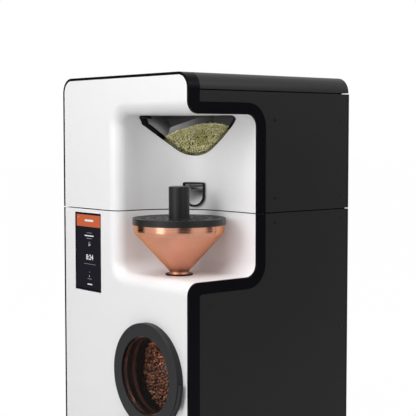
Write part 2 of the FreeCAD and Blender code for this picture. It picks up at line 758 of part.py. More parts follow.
def build_trims():
    """The black edge of each module, with the band around the open side of the recess."""
    low, high = FRONT, FRONT + d.front_band
    band = d.recess_band
    rise = TOP - d.corner_radius
    upper = Piece("upper_trim")
    upper.pad("XZ", low, high,
              [(-HALF, OVER), (-HALF, TOP, d.corner_radius), (HALF, TOP, d.corner_radius),
               (HALF, rise - 1.0), (INNER, rise - 1.0),
               (INNER, TOP - d.edge_trim, d.corner_radius - d.edge_trim),
               (-INNER, TOP - d.edge_trim, d.corner_radius - d.edge_trim), (-INNER, OVER)])
    upper.pad("YZ", INNER, HALF,
              [(FRONT, CEILING, d.recess_round), (BACK, CEILING, d.recess_round), (BACK, OVER),
               (BACK + band, OVER), (BACK + band, CEILING + band, d.recess_round + band),
               (high, CEILING + band, 3.0), (high, rise), (FRONT, rise)])
    foot = BASE + d.edge_trim
    lower = Piece("lower_trim")
    lower.pad("XZ", low, high,
              [(-HALF, UNDER), (-HALF, BASE, d.edge_trim), (HALF, BASE, d.edge_trim), (HALF, foot + 1.0),
               (INNER, foot + 1.0), (INNER, foot), (-INNER, foot), (-INNER, UNDER)])
    lower.pad("YZ", INNER, HALF,
              [(FRONT, foot), (FRONT, FLOOR, d.recess_round), (BACK, FLOOR, d.recess_round),
               (BACK, UNDER), (BACK + band, UNDER), (BACK + band, FLOOR - band, d.recess_round + band),
               (high, FLOOR - band, 10.0), (high, foot)])


# Side panels, rear panels and cap

SCREW_HEAD = 4.5
SCREW_HOLE = 2.2


def panel_screws():
    """Where the side panels are screwed on: module, distance from the front, height over the seam."""
    return {
        "upper_right": [(318.0, 265.0), (595.0, 265.0), (319.0, 42.0), (596.0, 42.0)],
        "lower_right": [(320.0, -28.0), (597.0, -28.0), (78.0, -247.0), (78.0, -700.0),
                        (597.0, -700.0), (597.0, -364.0)],
        "upper_left": [(78.0, 265.0), (595.0, 265.0), (78.0, 42.0), (596.0, 42.0)],
        "lower_left": [(78.0, -28.0), (597.0, -28.0), (78.0, -364.0), (78.0, -700.0),
                       (597.0, -700.0), (597.0, -364.0)],
    }


def build_panels():
    """The grey sheet panels of the two sides and their screws."""
    gap = d.panel_gap
    near_edge = FRONT + d.front_band + gap
    far_edge = REAR - d.rear_wrap - gap
    recess_edge = BACK + d.recess_band + gap
    outer_round = d.recess_round + d.recess_band + gap
    foot = BASE + 4.0
    above = CEILING + d.recess_band + gap
    below = FLOOR - d.recess_band - gap
    outlines = {
        "upper_right": [(near_edge, above, 2.0), (near_edge, SKIN_TOP), (far_edge, SKIN_TOP),
                        (far_edge, OVER), (recess_edge, OVER), (recess_edge, above, outer_round)],
        "lower_right": [(near_edge, below, 9.0), (near_edge, foot), (far_edge, foot), (far_edge, UNDER),
                        (recess_edge, UNDER), (recess_edge, below, outer_round)],
        "upper_left": rectangle(near_edge, far_edge, OVER, SKIN_TOP),
        "lower_left": rectangle(near_edge, far_edge, foot, UNDER),
    }
    heads = []
    for side, outline in outlines.items():
        piece = Piece(side + "_panel")
        holes = [ring(FRONT + y, SEAM + z, SCREW_HOLE) for y, z in panel_screws()[side]]
        if side.endswith("right"):
            piece.pad("YZ", PANEL_IN, PANEL_OUT, outline, *holes)
        else:
            piece.pad("YZ", -PANEL_OUT, -PANEL_IN, outline, *holes)
        for y, z in panel_screws()[side]:
            heads.append(screw(side, len(heads), FRONT + y, SEAM + z))
    node("panel_screws", group("screw_group", heads))


def screw(side, index, y, z):
    """One panel screw with a low round head, its shank through the sheet."""
    right = side.endswith("right")
    name = "screw_" + str(index)
    head_high = d.panel_step
    shank = d.panel_sheet + SHANK_BEYOND
    if right:
        head = rod(name + "_head", SCREW_HEAD, head_high, PANEL_OUT, y, z, "X")
        stem = rod(name + "_stem", SCREW_HOLE - 0.2, shank, PANEL_OUT - shank, y, z, "X")
    else:
        head = rod(name + "_head", SCREW_HEAD, head_high, -PANEL_OUT - head_high, y, z, "X")
        stem = rod(name + "_stem", SCREW_HOLE - 0.2, shank, -PANEL_OUT, y, z, "X")
    return fused(name, [head, stem])


def build_rear():
    """The folded rear panels: louvres over the exhaust, and the openings of the inlet and switch."""
    side, out = PANEL_OUT, REAR
    wrap = REAR - d.rear_wrap
    sheet = d.rear_sheet
    outline = [(-side, wrap), (-side, out, 4.0), (side, out, 4.0), (side, wrap), (side - sheet, wrap),
               (side - sheet, out - sheet, 2.5), (-side + sheet, out - sheet, 2.5),
               (-side + sheet, wrap)]
    upper = Piece("upper_rear_panel")
    upper.pad("XY", OVER, SKIN_TOP, outline)
    vent = upper.pocket("XZ", out - sheet - 1.0, out + 1.0,
                        rectangle(-200.0, -60.0, SEAM + 60.0, SEAM + 65.0, 2.4))
    upper.along(vent, "V_Axis", d.recess_band * 4, 9)
    lower = Piece("lower_rear_panel")
    lower.pad("XY", BASE + 4.0, UNDER, outline)
    lower.pocket("XZ", out - sheet - 1.0, out + 1.0,
                 rectangle(*inlet_span(), *inlet_rise()), rectangle(*switch_span(), *switch_rise()))
    low = AXIS_Z + LOUVRE_LOW + 4.0
    slot = lower.pocket("XZ", out - sheet - 1.0, out + 1.0,
                        rectangle(AXIS_X - d.filter_half, AXIS_X + d.filter_half, low, low + 6.0, 2.9))
    lower.along(slot, "V_Axis", LOUVRE_SPAN, 13)


def inlet_span():
    """Left and right edge of the power inlet, seen along Y."""
    return -HALF + 60.0, -HALF + 88.0


def inlet_rise():
    """Lower and upper edge of the power inlet."""
    return BASE + 62.0, BASE + 82.0


def switch_span():
    """Left and right edge of the power switch."""
    return -HALF + 108.0, -HALF + 138.0


def switch_rise():
    """Lower and upper edge of the power switch."""
    return BASE + 61.0, BASE + 83.0


LID_PIVOT_Y = REAR - 2.8
LID_PIVOT_Z = CAP_LOW + 0.5
KNUCKLE = 2.5
PIN = 1.1


def build_cap():
    """The top cap, hinged at the rear, and its hinge."""
    outer, radius, sheet = HALF - 0.4, d.corner_radius - 0.4, d.cap_sheet
    low_y, high_y = FRONT + d.front_band + 1.5, LID_PIVOT_Y - KNUCKLE - d.play
    cap = Piece("top_cap")
    cap.pad("XZ", low_y, high_y,
            [(-outer, CAP_LOW), (-outer, TOP, radius), (outer, TOP, radius), (outer, CAP_LOW)])
    cap.pocket("XZ", low_y + sheet, high_y - sheet,
               [(-outer + sheet, CAP_LOW - 1.0), (-outer + sheet, TOP - sheet, radius - sheet),
                (outer - sheet, TOP - sheet, radius - sheet), (outer - sheet, CAP_LOW - 1.0)])
    fixed, moving = [], []
    count = 5
    length = d.body_width * 0.8
    start = -length / 2
    share = length / count
    leaf = 14.0
    for index in range(count):
        left = start + share * index + 0.3
        wide = share - 0.6
        barrel = rod("knuckle_" + str(index), KNUCKLE, wide, left, LID_PIVOT_Y, LID_PIVOT_Z, "X")
        if index % 2:
            flap = block("leaf_" + str(index), (left, left + wide),
                         (LID_PIVOT_Y - KNUCKLE - d.play, LID_PIVOT_Y - KNUCKLE + LEAF),
                         (LID_PIVOT_Z, LID_PIVOT_Z + leaf))
            moving.append(fused("moving_" + str(index), [barrel, flap]))
        else:
            flap = block("leaf_" + str(index), (left, left + wide),
                         (REAR - d.rear_sheet - LEAF, REAR - d.rear_sheet),
                         (LID_PIVOT_Z - leaf, LID_PIVOT_Z))
            fixed.append(fused("fixed_" + str(index), [barrel, flap]))
    wide = PIN + d.shaft_clear
    bore = rod("hinge_bore", wide, length + 4.0, start - 2.0, LID_PIVOT_Y, LID_PIVOT_Z, "X")
    node("lid_hinge_fixed", cut("fixed_leaf", group("fixed_group", fixed), bore))
    node("lid_hinge_moving", cut("moving_leaf", group("moving_group", moving), bore))
    node("lid_hinge_pin", rod("hinge_rod", PIN, length, start, LID_PIVOT_Y, LID_PIVOT_Z, "X"))


# Funnel and lid

def build_funnel():
    """The funnel on its gasket, and the perforated lid with its knob."""
    foot_z = FLOOR + d.gasket_height
    neck, wide, sheet = d.funnel_neck, d.funnel_radius, d.funnel_sheet
    spigot = d.chute_radius - SPIGOT_CLEAR
    bore = spigot - sheet
    rim = SEAM - d.lid_drop - d.lid_plate - d.play - foot_z
    cone = rim - d.funnel_band
    inner_shift = sheet * 0.4
    funnel = Piece("funnel")
    funnel.spin("XZ", "V_Axis",
                [(bore, -d.spigot_deep), (spigot, -d.spigot_deep), (spigot, 0.0), (neck + 2.0, 0.0),
                 (neck, 3.0), (neck, d.funnel_foot, 6.0), (wide, cone, d.funnel_round), (wide, rim),
                 (wide - sheet, rim), (wide - sheet, cone + inner_shift, d.funnel_round - sheet),
                 (neck - sheet, d.funnel_foot + inner_shift, 6.0 + sheet), (neck - sheet, 3.0),
                 (bore, 0.0)])
    place(funnel.body, AXIS_X, FUNNEL_Y, foot_z)
    gasket = Piece("funnel_gasket")
    hole = spigot + d.play - SPIGOT_CLEAR / 10
    stem = d.chute_radius + INTAKE_WALL - d.play
    gasket.spin("XZ", "V_Axis",
                [(hole, -GASKET_STEM), (stem, -GASKET_STEM), (stem, 0.0), (d.gasket_radius, 0.0),
                 (d.gasket_radius, d.gasket_height, 1.5), (hole, d.gasket_height)])
    place(gasket.body, AXIS_X, FUNNEL_Y, FLOOR)
    build_lid()


def lozenge(x, half_long, half_wide):
    """A bean-shaped hole of the lid, with its long side toward the middle."""
    tip = half_wide * 0.45
    return [(x - half_long, -tip), (x - half_long + tip, -half_wide), (x + half_long - tip, -half_wide),
            (x + half_long, -tip), (x + half_long, tip), (x + half_long - tip, half_wide),
            (x - half_long + tip, half_wide), (x - half_long, tip)]


def build_lid():
    """The lid with three rings of holes, and the knob in its middle."""
    radius, plate, rim = d.lid_radius, d.lid_plate, d.lid_rim
    skirt, stud = d.lid_skirt, 4.0
    lid = Piece("perforated_lid")
    lid.spin("XZ", "V_Axis",
             [(stud, -plate), (radius - skirt, -plate), (radius - skirt, -rim), (radius, -rim),
              (radius, 0.0, 1.2), (radius - 5.0, 0.0), (radius - 6.0, -1.0), (stud, -1.0)])
    middle = radius - 8.0 - (radius - 8.0 - d.knob_radius) / 2
    step = d.lid_slot_long + 8.0
    for ring_place, count in ((middle - step, d.lid_inner_count), (middle, d.lid_middle_count),
                              (middle + step, d.lid_outer_count)):
        hole = lid.pocket("XY", -plate - 1.0, 1.0,
                          lozenge(ring_place, d.lid_slot_long / 2, d.lid_slot / 2))
        lid.around(hole, "XY", "N_Axis", count)
    place(lid.body, AXIS_X, FUNNEL_Y, SEAM - d.lid_drop)
    knob = Piece("lid_knob")
    grip = d.knob_radius
    knob.spin("XZ", "V_Axis",
              [(0.0, -plate - 3.0), (stud - 0.1, -plate - 3.0), (stud - 0.1, -1.0), (grip, -1.0),
               (grip, d.knob_height, 2.5), (0.0, d.knob_height)])
    place(knob.body, AXIS_X, FUNNEL_Y, SEAM - d.lid_drop)


# Swept ducts

def bent_path(corners, radius):
    """A path of straight runs through corner points, joined by tangent arcs."""
    radius = number_of(radius)
    spots = [point(*corner) for corner in corners]
    edges = []
    last = spots[0]
    for before, corner, after in zip(spots, spots[1:], spots[2:]):
        back, ahead = (before - corner).normalize(), (after - corner).normalize()
        half = back.getAngle(ahead) / 2
        reach = radius / math.tan(half)
        centre = corner + (back + ahead).normalize() * (radius / math.sin(half))
        start, end = corner + back * reach, corner + ahead * reach
        middle = centre + (corner - centre).normalize() * radius
        edges.append(Part.makeLine(last, start))
        edges.append(Part.Arc(start, middle, end).toShape())
        last = end
    edges.append(Part.makeLine(last, spots[-1]))
    return Part.Wire(edges)


def swept(corners, bend, radius):
    """A round bar along a bent path."""
    path = bent_path(corners, bend)
    start = point(*corners[0])
    along = point(*corners[1]) - start
    profile = Part.Wire([Part.makeCircle(number_of(radius), start, along)])
    return path.makePipeShell([profile], True, True)


def build_charge_chute():
    """The pipe from the funnel down to the top of the drum head, with a flange under the gasket."""
    top = FLOOR - GASKET_STEM
    head_y = FRONT + (d.head_depth + BOSS_FACE) / 2
    foot = AXIS_Z + d.casing_radius + HEAD_BOSS_UP
    bore = number_of(d.chute_radius)
    wall = 2.0
    neck = 18.0
    down = number_of(FUNNEL_Y - head_y) * 0.75
    corners = [(AXIS_X, FUNNEL_Y, top), (AXIS_X, FUNNEL_Y, top - neck),
               (AXIS_X, head_y, top - neck - down), (AXIS_X, head_y, foot)]
    bend = bore + wall + 2.0
    flange = Part.makeCylinder(bore + INTAKE_WALL + 4.0, 2.0, point(AXIS_X, FUNNEL_Y, top - 2.0), Z_AXIS)
    outside = swept(corners, bend, bore + wall).fuse(flange)
    longer = [(AXIS_X, FUNNEL_Y, top + 1.0)] + corners[1:3] + [(AXIS_X, head_y, foot - 1.0)]
    shaped("charge_chute", outside.cut(swept(longer, bend, bore)).removeSplitter())


# Bean feed: hopper, window, feeder and port

def hopper_form(inset, low, high):
    """The outside or inside of the hopper: sloping sides and back, upright toward the recess."""
    inset, low, high = number_of(inset), number_of(low), number_of(high)
    mouth_z = number_of(MOUTH_RISE)
    side = math.radians(number_of(d.hopper_side_slope))
    back = math.radians(number_of(d.hopper_back_slope))
    ahead = -HOPPER_AHEAD + inset

    def section(z):
        half = number_of(d.hopper_mouth_half) + (z - mouth_z) / math.tan(side) - inset / math.sin(side)
        far = number_of(d.hopper_clear + d.hopper_mouth_deep) - inset / math.sin(back)
        far += (z - mouth_z) / math.tan(back)
        return Part.makePolygon([point(-half, ahead, z), point(half, ahead, z), point(half, far, z),
                                 point(-half, far, z), point(-half, ahead, z)])

    form = in_feed(Part.makeLoft([section(low), section(high)], True, True))
    within = solid_box((-HALF, HALF - d.hopper_side_room - inset), (FRONT, REAR), (SEAM, TOP))
    return form.common(within)


def largest(shape):
    """The largest solid of a shape."""
    return max(shape.Solids, key=lambda solid: solid.Volume)


def build_hopper():
    """The sheet metal hopper behind the window, the pane with its smoked border, and the beans."""
    sheet = d.hopper_sheet
    behind = d.hopper_behind
    outer = hopper_form(0.0, MOUTH_RISE, d.hopper_top).cut(recess_void(behind))
    inner = hopper_form(sheet, MOUTH_RISE - 3.0, d.hopper_top + 3.0).cut(recess_void(behind + sheet))
    opening = in_feed(through(window_loop(0.0).makeOffset2D(1.0), WINDOW_NEAR, WINDOW_FAR))
    shaped("green_hopper", largest(outer.cut(inner).cut(opening)))
    border = through(window_loop(d.window_border), WINDOW_NEAR, WINDOW_FAR)
    rim = through(window_loop(0.4), WINDOW_NEAR, WINDOW_FAR).cut(border)
    zone = recess_void(behind - d.run_clear).cut(recess_void(0.6))
    shaped("window_border", largest(in_feed(rim).common(zone)))
    pane = in_feed(through(window_loop(d.window_border + d.run_clear), WINDOW_NEAR, WINDOW_FAR))
    pane_zone = recess_void(d.pane_behind + d.pane_sheet).cut(recess_void(d.pane_behind))
    shaped("hopper_window", largest(pane.common(pane_zone)))
    build_green_beans()


def build_green_beans():
    """The green beans: they lie against the window and pile up toward the middle of the hopper."""
    clear = d.hopper_sheet + d.run_clear
    fill = hopper_form(clear, MOUTH_RISE + 2.0, d.hopper_top).cut(recess_void(d.hopper_behind + clear))
    low, line, crest, rear = MOUTH_RISE - 20.0, d.bean_line, d.bean_crest, d.bean_rear
    profile = Part.makePolygon([
        point(-BEANS_WIDE, -HOPPER_AHEAD - 20.0, low), point(-BEANS_WIDE, -HOPPER_AHEAD - 20.0, line),
        point(-BEANS_WIDE, 6.0, line), point(-BEANS_WIDE, 115.0, crest), point(-BEANS_WIDE, 260.0, rear),
        point(-BEANS_WIDE, 260.0, low), point(-BEANS_WIDE, -HOPPER_AHEAD - 20.0, low)])
    heap = in_feed(Part.Face(profile).extrude(point(2 * BEANS_WIDE, 0, 0)))
    crown = in_feed(Part.makeCylinder(CROWN_RADIUS, 2 * BEANS_WIDE,
                                      point(CROWN_SHIFT, -BEANS_WIDE, crest - CROWN_RADIUS), Y_AXIS))
    shaped("green_beans", largest(fill.common(heap).common(crown)))


def placed_in_feed(piece, x=0.0, y=0.0, z=0.0):
    """Put a body into the frame of the bean feed, at a point of that frame."""
    piece.body.Placement = FEED.multiply(FreeCAD.Placement(point(x, y, z), FreeCAD.Rotation()))


def build_feeder():
    """The rotary feeder under the hopper and its motor."""
    half, radius = d.hopper_mouth_half, d.feeder_radius
    mouth = d.hopper_mouth_deep / 2
    wall = d.feeder_wall
    outside = radius + 1.0 + wall
    end = half + wall
    neck_top = d.feeder_drop - d.run_clear
    shaft = d.feeder_shaft
    housing = Piece("feeder_housing")
    housing.pad("YZ", -end, end, ring(0.0, 0.0, outside))
    housing.pad("YZ", -end, end, rectangle(-mouth, mouth, 0.0, neck_top))
    housing.pocket("YZ", -half, half, ring(0.0, 0.0, radius + 1.0))
    housing.pocket("XY", 0.0, neck_top + 1.0, rectangle(-half, half, -mouth + wall, mouth - wall))
    outlet = d.port_half - d.port_rim - 4.0
    housing.pocket("XY", -outside - 1.0, 0.0, rectangle(-outlet, outlet, -mouth + 13.0, mouth - 13.0))
    housing.pocket("YZ", -end - 1.0, end + 1.0, ring(0.0, 0.0, shaft + d.shaft_clear))
    placed_in_feed(housing, 0.0, FEEDER_B, FEEDER_RISE)
    wheel = Piece("feeder_wheel")
    run = half - 1.0
    wheel.pad("YZ", -run, run, ring(0.0, 0.0, shaft + 4.0))
    vane = wheel.pad("YZ", -run, run, rectangle(-1.5, 1.5, shaft, radius))
    wheel.around(vane, "YZ", "N_Axis", d.feeder_vanes)
    wheel.pad("YZ", -half - 8.0, end + 13.0, ring(0.0, 0.0, shaft))
    placed_in_feed(wheel, 0.0, FEEDER_B, FEEDER_RISE)
    motor = Piece("feeder_motor")
    plate = 6.0
    plate_half = outside - 13.0
    motor.pad("YZ", end, end + plate, rectangle(-plate_half, plate_half, -plate_half, plate_half, 5.0))
    motor.pad("YZ", end + plate, end + plate + d.feeder_motor, ring(0.0, 0.0, plate_half - 3.0))
    motor.pocket("YZ", end - 1.0, end + 14.0, ring(0.0, 0.0, shaft + 1.0))
    placed_in_feed(motor, 0.0, FEEDER_B, FEEDER_RISE)


def build_port():
    """The black rim of the feed port, and the grey chute that brings the beans to it."""
    rim = number_of(d.port_rim)
    outer = port_loop(d.port_half, d.port_low, d.port_high, 6.0)
    step = rim / 2 + 0.2
    spigot = port_loop(d.port_half - step, d.port_low + step, d.port_high - step, 4.0)
    knee = number_of(d.shell_wall) + 2.0
    bore = port_loop(d.port_half - rim, d.port_low + rim, d.port_high - rim, 2.0)
    sweep = number_of(d.recess_sweep)
    sag = sweep - math.sqrt(sweep ** 2 - number_of(d.port_half) ** 2)
    front = -sag - number_of(d.port_reach)
    inside = through(bore, front - 1.0, 40.0)
    flange = in_feed(through(outer, front, 30.0).cut(inside)).common(recess_void(-0.1))
    sleeve = in_feed(through(spigot, front + 1.0, knee).cut(inside))
    shaped("port_rim", flange.fuse(sleeve).removeSplitter())
    clear = 0.4
    half, low, high = (number_of(d.port_half) - rim - clear, number_of(d.port_low) + rim + clear,
                       number_of(d.port_high) - rim - clear)
    sheet = number_of(d.hopper_sheet)
    start = -2.0
    far = number_of(FEEDER_B) + number_of(d.hopper_mouth_deep) / 2 - 6.0
    slope = number_of(d.chute_rise) / (far - knee)

    def trough(grow, begin, end):
        face = port_loop(half - grow, low + grow, high - grow, 1.0)
        face.translate(point(0, knee, 0))
        sloping = face.extrude(point(0, end - knee, (end - knee) * slope))
        face.translate(point(0, begin - knee, 0))
        return sloping.fuse(face.extrude(point(0, knee - begin, 0))).removeSplitter()

    chute = trough(0.0, start, far).cut(trough(sheet, start - 1.0, far - sheet))
    room = number_of(d.feeder_radius + d.feeder_wall) + 1.0 + number_of(d.run_clear)
    seat = Part.makeCylinder(room, 200.0, point(-100.0, FEEDER_B, FEEDER_RISE), X_AXIS)
    above = Part.makeBox(200.0, 200.0, 100.0, point(-100.0, FEEDER_B, FEEDER_RISE - room * 0.6))
    shaped("feed_chute", in_feed(largest(chute.cut(seat).cut(above))))


# Touch screen

def build_screen():
    """The touch screen's glass, a little proud of the front, and its module behind."""
    middle = -d.screen_left
    top = SEAM - d.screen_drop
    low = top - d.screen_tall
    half = d.screen_wide / 2
    face = FRONT - d.screen_proud
    back = face + d.screen_glass
    glass = Piece("screen_glass")
    glass.pad("XZ", face, back, rectangle(middle - half, middle + half, low, top, 3.0))
    module = Piece("screen_module")
    behind = FRONT + d.shell_wall
    module.pad("XZ", back, behind, rectangle(middle - half, middle + half, low, top))
    module.pad("XZ", behind, behind + d.screen_box,
               rectangle(middle - half - 9.0, middle + half + 9.0, low - 9.0, top + 5.0, 4.0))


# Door

def build_door():
    """The round door: a hollow ring with a pull, its glass, and the seal on the drum head."""
    rear, front, wall = -d.play, -d.door_thick, d.door_wall
    bore, radius, barrel = d.door_bore, d.door_radius, d.head_barrel
    seat = front + 5.0
    glass_back = seat + d.door_glass
    door = Piece("door_ring")
    door.spin("XY", "V_Axis",
              [(bore, rear), (bore, glass_back), (bore + wall, glass_back), (bore + wall, seat),
               (bore, seat), (bore, front, 1.5), (radius, front, 2.0), (radius, rear),
               (radius - wall, rear), (radius - wall, front + wall),
               (bore + wall * 2, front + wall), (bore + wall * 2, rear)])
    door.pocket("XZ", rear - 8.5, 1.0,
                rectangle(-radius - 1.0, -radius + 20.0, -DOOR_RELIEF, DOOR_RELIEF))
    grip = door.spin("XY", "V_Axis",
                     rectangle(radius - 1.0, radius + d.door_pull, front + 2.0, front + 11.0, 2.5))
    grip.Angle = 26.0
    place(door.body, AXIS_X, FRONT, AXIS_Z)
    glass = Piece("door_glass")
    glass.pad("XZ", seat + TINY, glass_back - TINY, ring(0.0, 0.0, bore + wall - TINY * 5))
    place(glass.body, AXIS_X, FRONT, AXIS_Z)
    gasket = Piece("door_gasket")
    gasket.spin("XY", "V_Axis",
                rectangle(bore + 0.5, barrel - 0.5, rear + d.run_clear, HEAD_FACE, 1.0))
    place(gasket.body, AXIS_X, FRONT, AXIS_Z)
    build_door_hinge()


def build_door_hinge():
    """The hinge hidden in the ring: a bracket on the front, a knuckle on the ring, and the pin."""
    x, y, z = HINGE_X, HINGE_Y, AXIS_Z
    half = d.hinge_half
    share = half / 3
    barrel, pin = d.hinge_barrel, d.hinge_pin
    front_inside = FRONT - d.door_thick + d.door_wall
    parts = [block("hinge_foot", (x + 6.0, x + 17.0), (FRONT - 8.0, FRONT), (z - half, z + half))]
    for index, low in enumerate((-half, share)):
        name = "door_knuckle_" + str(index)
        parts.append(rod(name, barrel, half - share, x, y, z + low, "Z"))
        parts.append(block(name + "_arm", (x, x + 8.0), (y - 2.0, FRONT - 7.5),
                           (z + low, z + low + half - share)))
    bore = rod("door_pin_bore", pin + d.shaft_clear, half * 2 + 4.0, x, y, z - half - 2.0, "Z")
    node("door_hinge_fixed", cut("bracket_bored", fused("bracket", parts), bore))
    middle = share - d.run_clear
    knuckle = rod("moving_knuckle", barrel, middle * 2, x, y, z - middle, "Z")
    arm = block("moving_arm", (x - 2.0, x + 2.0), (front_inside, y), (z - middle, z + middle))
    leaf = block("moving_plate", (x - 2.0, x + 20.0), (front_inside, front_inside + 1.4),
                 (z - half, z + half))
    node("door_hinge_moving", cut("moving_bored", fused("moving_hinge", [knuckle, arm, leaf]), bore))
    node("door_hinge_pin", rod("door_pin", pin, half * 2, x, y, z - half, "Z"))


# Drum

def build_drum():
    """The head behind the door, the drum with its vanes, and the casing around it."""
    bore, barrel, depth, outer = d.door_bore, d.head_barrel, d.head_depth, d.casing_radius
    step = d.head_step
    head = Piece("drum_head")
    head.spin("XY", "V_Axis",
              [(bore, HEAD_FACE), (barrel, HEAD_FACE), (barrel, depth - 18.0), (outer, depth - 18.0),
               (outer, depth), (bore + step * 3, depth), (bore + step, depth - 22.0),
               (bore + step, depth - 32.0), (bore, depth - 32.0)])
    half, low, high = d.chute_radius + 5.0, barrel - 6.0, outer + HEAD_BOSS_UP
    head.pad("XY", low, high, rectangle(-half, half, BOSS_FACE, depth, 4.0))
    head.pocket("XY", bore - 12.0, high + 1.0, ring(0.0, (BOSS_FACE + depth) / 2, d.chute_radius - 3.0))
    spout = d.spout_half
    head.pad("XY", -outer - d.spout_drop, -low,
             rectangle(-spout, spout, HEAD_FACE + 6.0, depth - 4.0, 4.0))
    head.pocket("XY", -outer - d.spout_drop - 1.0, -barrel - 1.0,
                rectangle(-spout + 3.0, spout - 3.0, HEAD_FACE + 9.0, depth - 7.0, 2.0))
    place(head.body, AXIS_X, FRONT, AXIS_Z)
    radius, sheet = d.drum_radius, d.drum_sheet
    hub, shaft = d.shaft_radius + 14.0, d.shaft_radius
    lip = 8.0
    drum = Piece("drum")
    drum.spin("XY", "V_Axis",
              [(radius - lip, DRUM_FRONT), (radius, DRUM_FRONT), (radius, DRUM_REAR), (hub, DRUM_REAR),
               (hub, DRUM_REAR + 10.0), (shaft, DRUM_REAR + 10.0), (shaft, DRUM_REAR - 16.0),
               (hub, DRUM_REAR - 16.0), (hub, DRUM_REAR - sheet), (radius - sheet, DRUM_REAR - sheet),
               (radius - sheet, DRUM_FRONT + sheet), (radius - lip, DRUM_FRONT + sheet)])
    root, tip = radius - sheet / 2, radius - sheet - d.drum_vane
    vane = drum.pad("XZ", DRUM_FRONT + 6.0, DRUM_REAR - 20.0,
                    [(-2.0, root), (5.0, tip), (8.0, tip), (2.0, root)])
    drum.around(vane, "XZ", "N_Axis", d.drum_vanes)
    place(drum.body, AXIS_X, FRONT, AXIS_Z)
    inner = outer - d.casing_wall
    plate = CASING_REAR - d.casing_wall
    casing = Piece("drum_casing")
    casing.spin("XY", "V_Axis",
                [(inner, depth), (outer, depth), (outer, CASING_REAR),
                 (BEARING_OUT + d.run_clear, CASING_REAR), (BEARING_OUT + d.run_clear, plate),
                 (inner, plate)])
    casing.pocket("XY", 0.0, outer + 10.0, ring(0.0, PIPE_BACK, d.pipe_radius - 2.0))
    casing.pocket("YZ", -outer - 10.0, 0.0,
                  rectangle(BLOWER_BACK + 4.0, BLOWER_BACK + d.duct_deep - 4.0, 4.0, d.duct_high - 4.0))
    place(casing.body, AXIS_X, FRONT, AXIS_Z)
    build_roasted_beans()


def build_roasted_beans():
    """The roasted beans: a heap inside the vanes, carried up the left side by the turning drum."""
    x, y, z = number_of(AXIS_X), number_of(FRONT), number_of(AXIS_Z)
    reach = number_of(d.drum_radius - d.drum_sheet - d.drum_vane) - BEAN_ROOM
    heap = Part.makeCylinder(reach, BEAN_LONG, point(x, y + number_of(DRUM_FRONT) + 1.0, z), Y_AXIS)
    side = 4 * reach
    away = Part.makeBox(side, side, side, point(BEAN_EDGE, -side / 4, -side / 2))
    away.rotate(point(0, 0, 0), Y_AXIS, -BEAN_LEAN)
    away.translate(point(x, y, z))
    shaped("roasted_beans", largest(heap.cut(away)))


def build_drive():
    """Shaft, bearing unit, pulleys, belt and motor of the drum."""
    shaft = Piece("drum_shaft")
    shaft.pad("XZ", DRUM_REAR - 16.0, BELT_BACK + d.belt_width, ring(0.0, 0.0, d.shaft_radius))
    place(shaft.body, AXIS_X, FRONT, AXIS_Z)
    out, inner = BEARING_OUT, d.shaft_radius + d.shaft_clear
    flange = CASING_REAR + d.casing_wall
    unit = Piece("bearing_unit")
    unit.spin("XY", "V_Axis",
              [(inner, CASING_REAR - 4.0), (out, CASING_REAR - 4.0), (out, CASING_REAR),
               (out + 28.0, CASING_REAR), (out + 28.0, flange), (out + 7.0, flange, 3.0),
               (out + 7.0, CASING_REAR + 42.0), (inner, CASING_REAR + 42.0)])
    bolt = unit.pocket("XZ", CASING_REAR - 1.0, flange + 1.0, ring(out + 18.0, 0.0, 3.3))
    unit.around(bolt, "XZ", "N_Axis", 4)
    place(unit.body, AXIS_X, FRONT, AXIS_Z)
    build_pulley("drum_pulley", d.drum_pulley, d.shaft_radius, AXIS_X, AXIS_Z)
    build_pulley("motor_pulley", d.motor_pulley, MOTOR_SHAFT, MOTOR_X, MOTOR_Z)
    build_belt()
    motor = Piece("drum_motor")
    front = BELT_BACK - d.belt_width / 2 - 8.0 - d.motor_length
    back = front + d.motor_length
    motor.pad("XZ", front, back, ring(0.0, 0.0, d.motor_radius))
    motor.pad("XZ", back - 6.0, back, rectangle(-d.motor_radius - 4.0, d.motor_radius + 4.0,
                                                 -d.motor_radius - 4.0, d.motor_radius + 4.0, 8.0))
    motor.pad("XZ", front + 10.0, back - 6.0,
              rectangle(-d.motor_radius + 8.0, d.motor_radius - 8.0, BASE_TOP - MOTOR_Z, 0.0))
    bore = MOTOR_SHAFT + d.shaft_clear
    motor.pocket("XZ", back - 26.0, back + 1.0, ring(0.0, 0.0, bore))
    place(motor.body, MOTOR_X, FRONT, MOTOR_Z)


def build_pulley(label, radius, shaft, x, z):
    """A pulley with two low cheeks; the motor's small one carries its own stub shaft."""
    half = d.belt_width / 2 + 1.0
    low, high = BELT_BACK - half, BELT_BACK + half
    cheek = 3.0
    rim = radius + cheek
    pulley = Piece(label)
    if label == "motor_pulley":
        pulley.spin("XY", "V_Axis",
                    [(0.0, low - 26.0), (shaft, low - 26.0), (shaft, low - cheek), (rim, low - cheek),
                     (rim, low), (radius, low), (radius, high), (rim, high), (rim, high + cheek),
                     (0.0, high + cheek)])
    else:
        pulley.spin("XY", "V_Axis",
                    [(shaft, low - cheek), (rim, low - cheek), (rim, low), (radius, low), (radius, high),
                     (rim, high), (rim, high + cheek), (shaft + 14.0, high + cheek),
                     (shaft + 14.0, high - 4.0), (shaft, high - 4.0)])
        hole = pulley.pocket("XZ", low - cheek - 1.0, high + cheek + 1.0,
                             ring((radius + shaft) / 2 + 4.0, 0.0, (radius - shaft) / 2 - 14.0))
        pulley.around(hole, "XZ", "N_Axis", 6)
    place(pulley.body, x, FRONT, z)


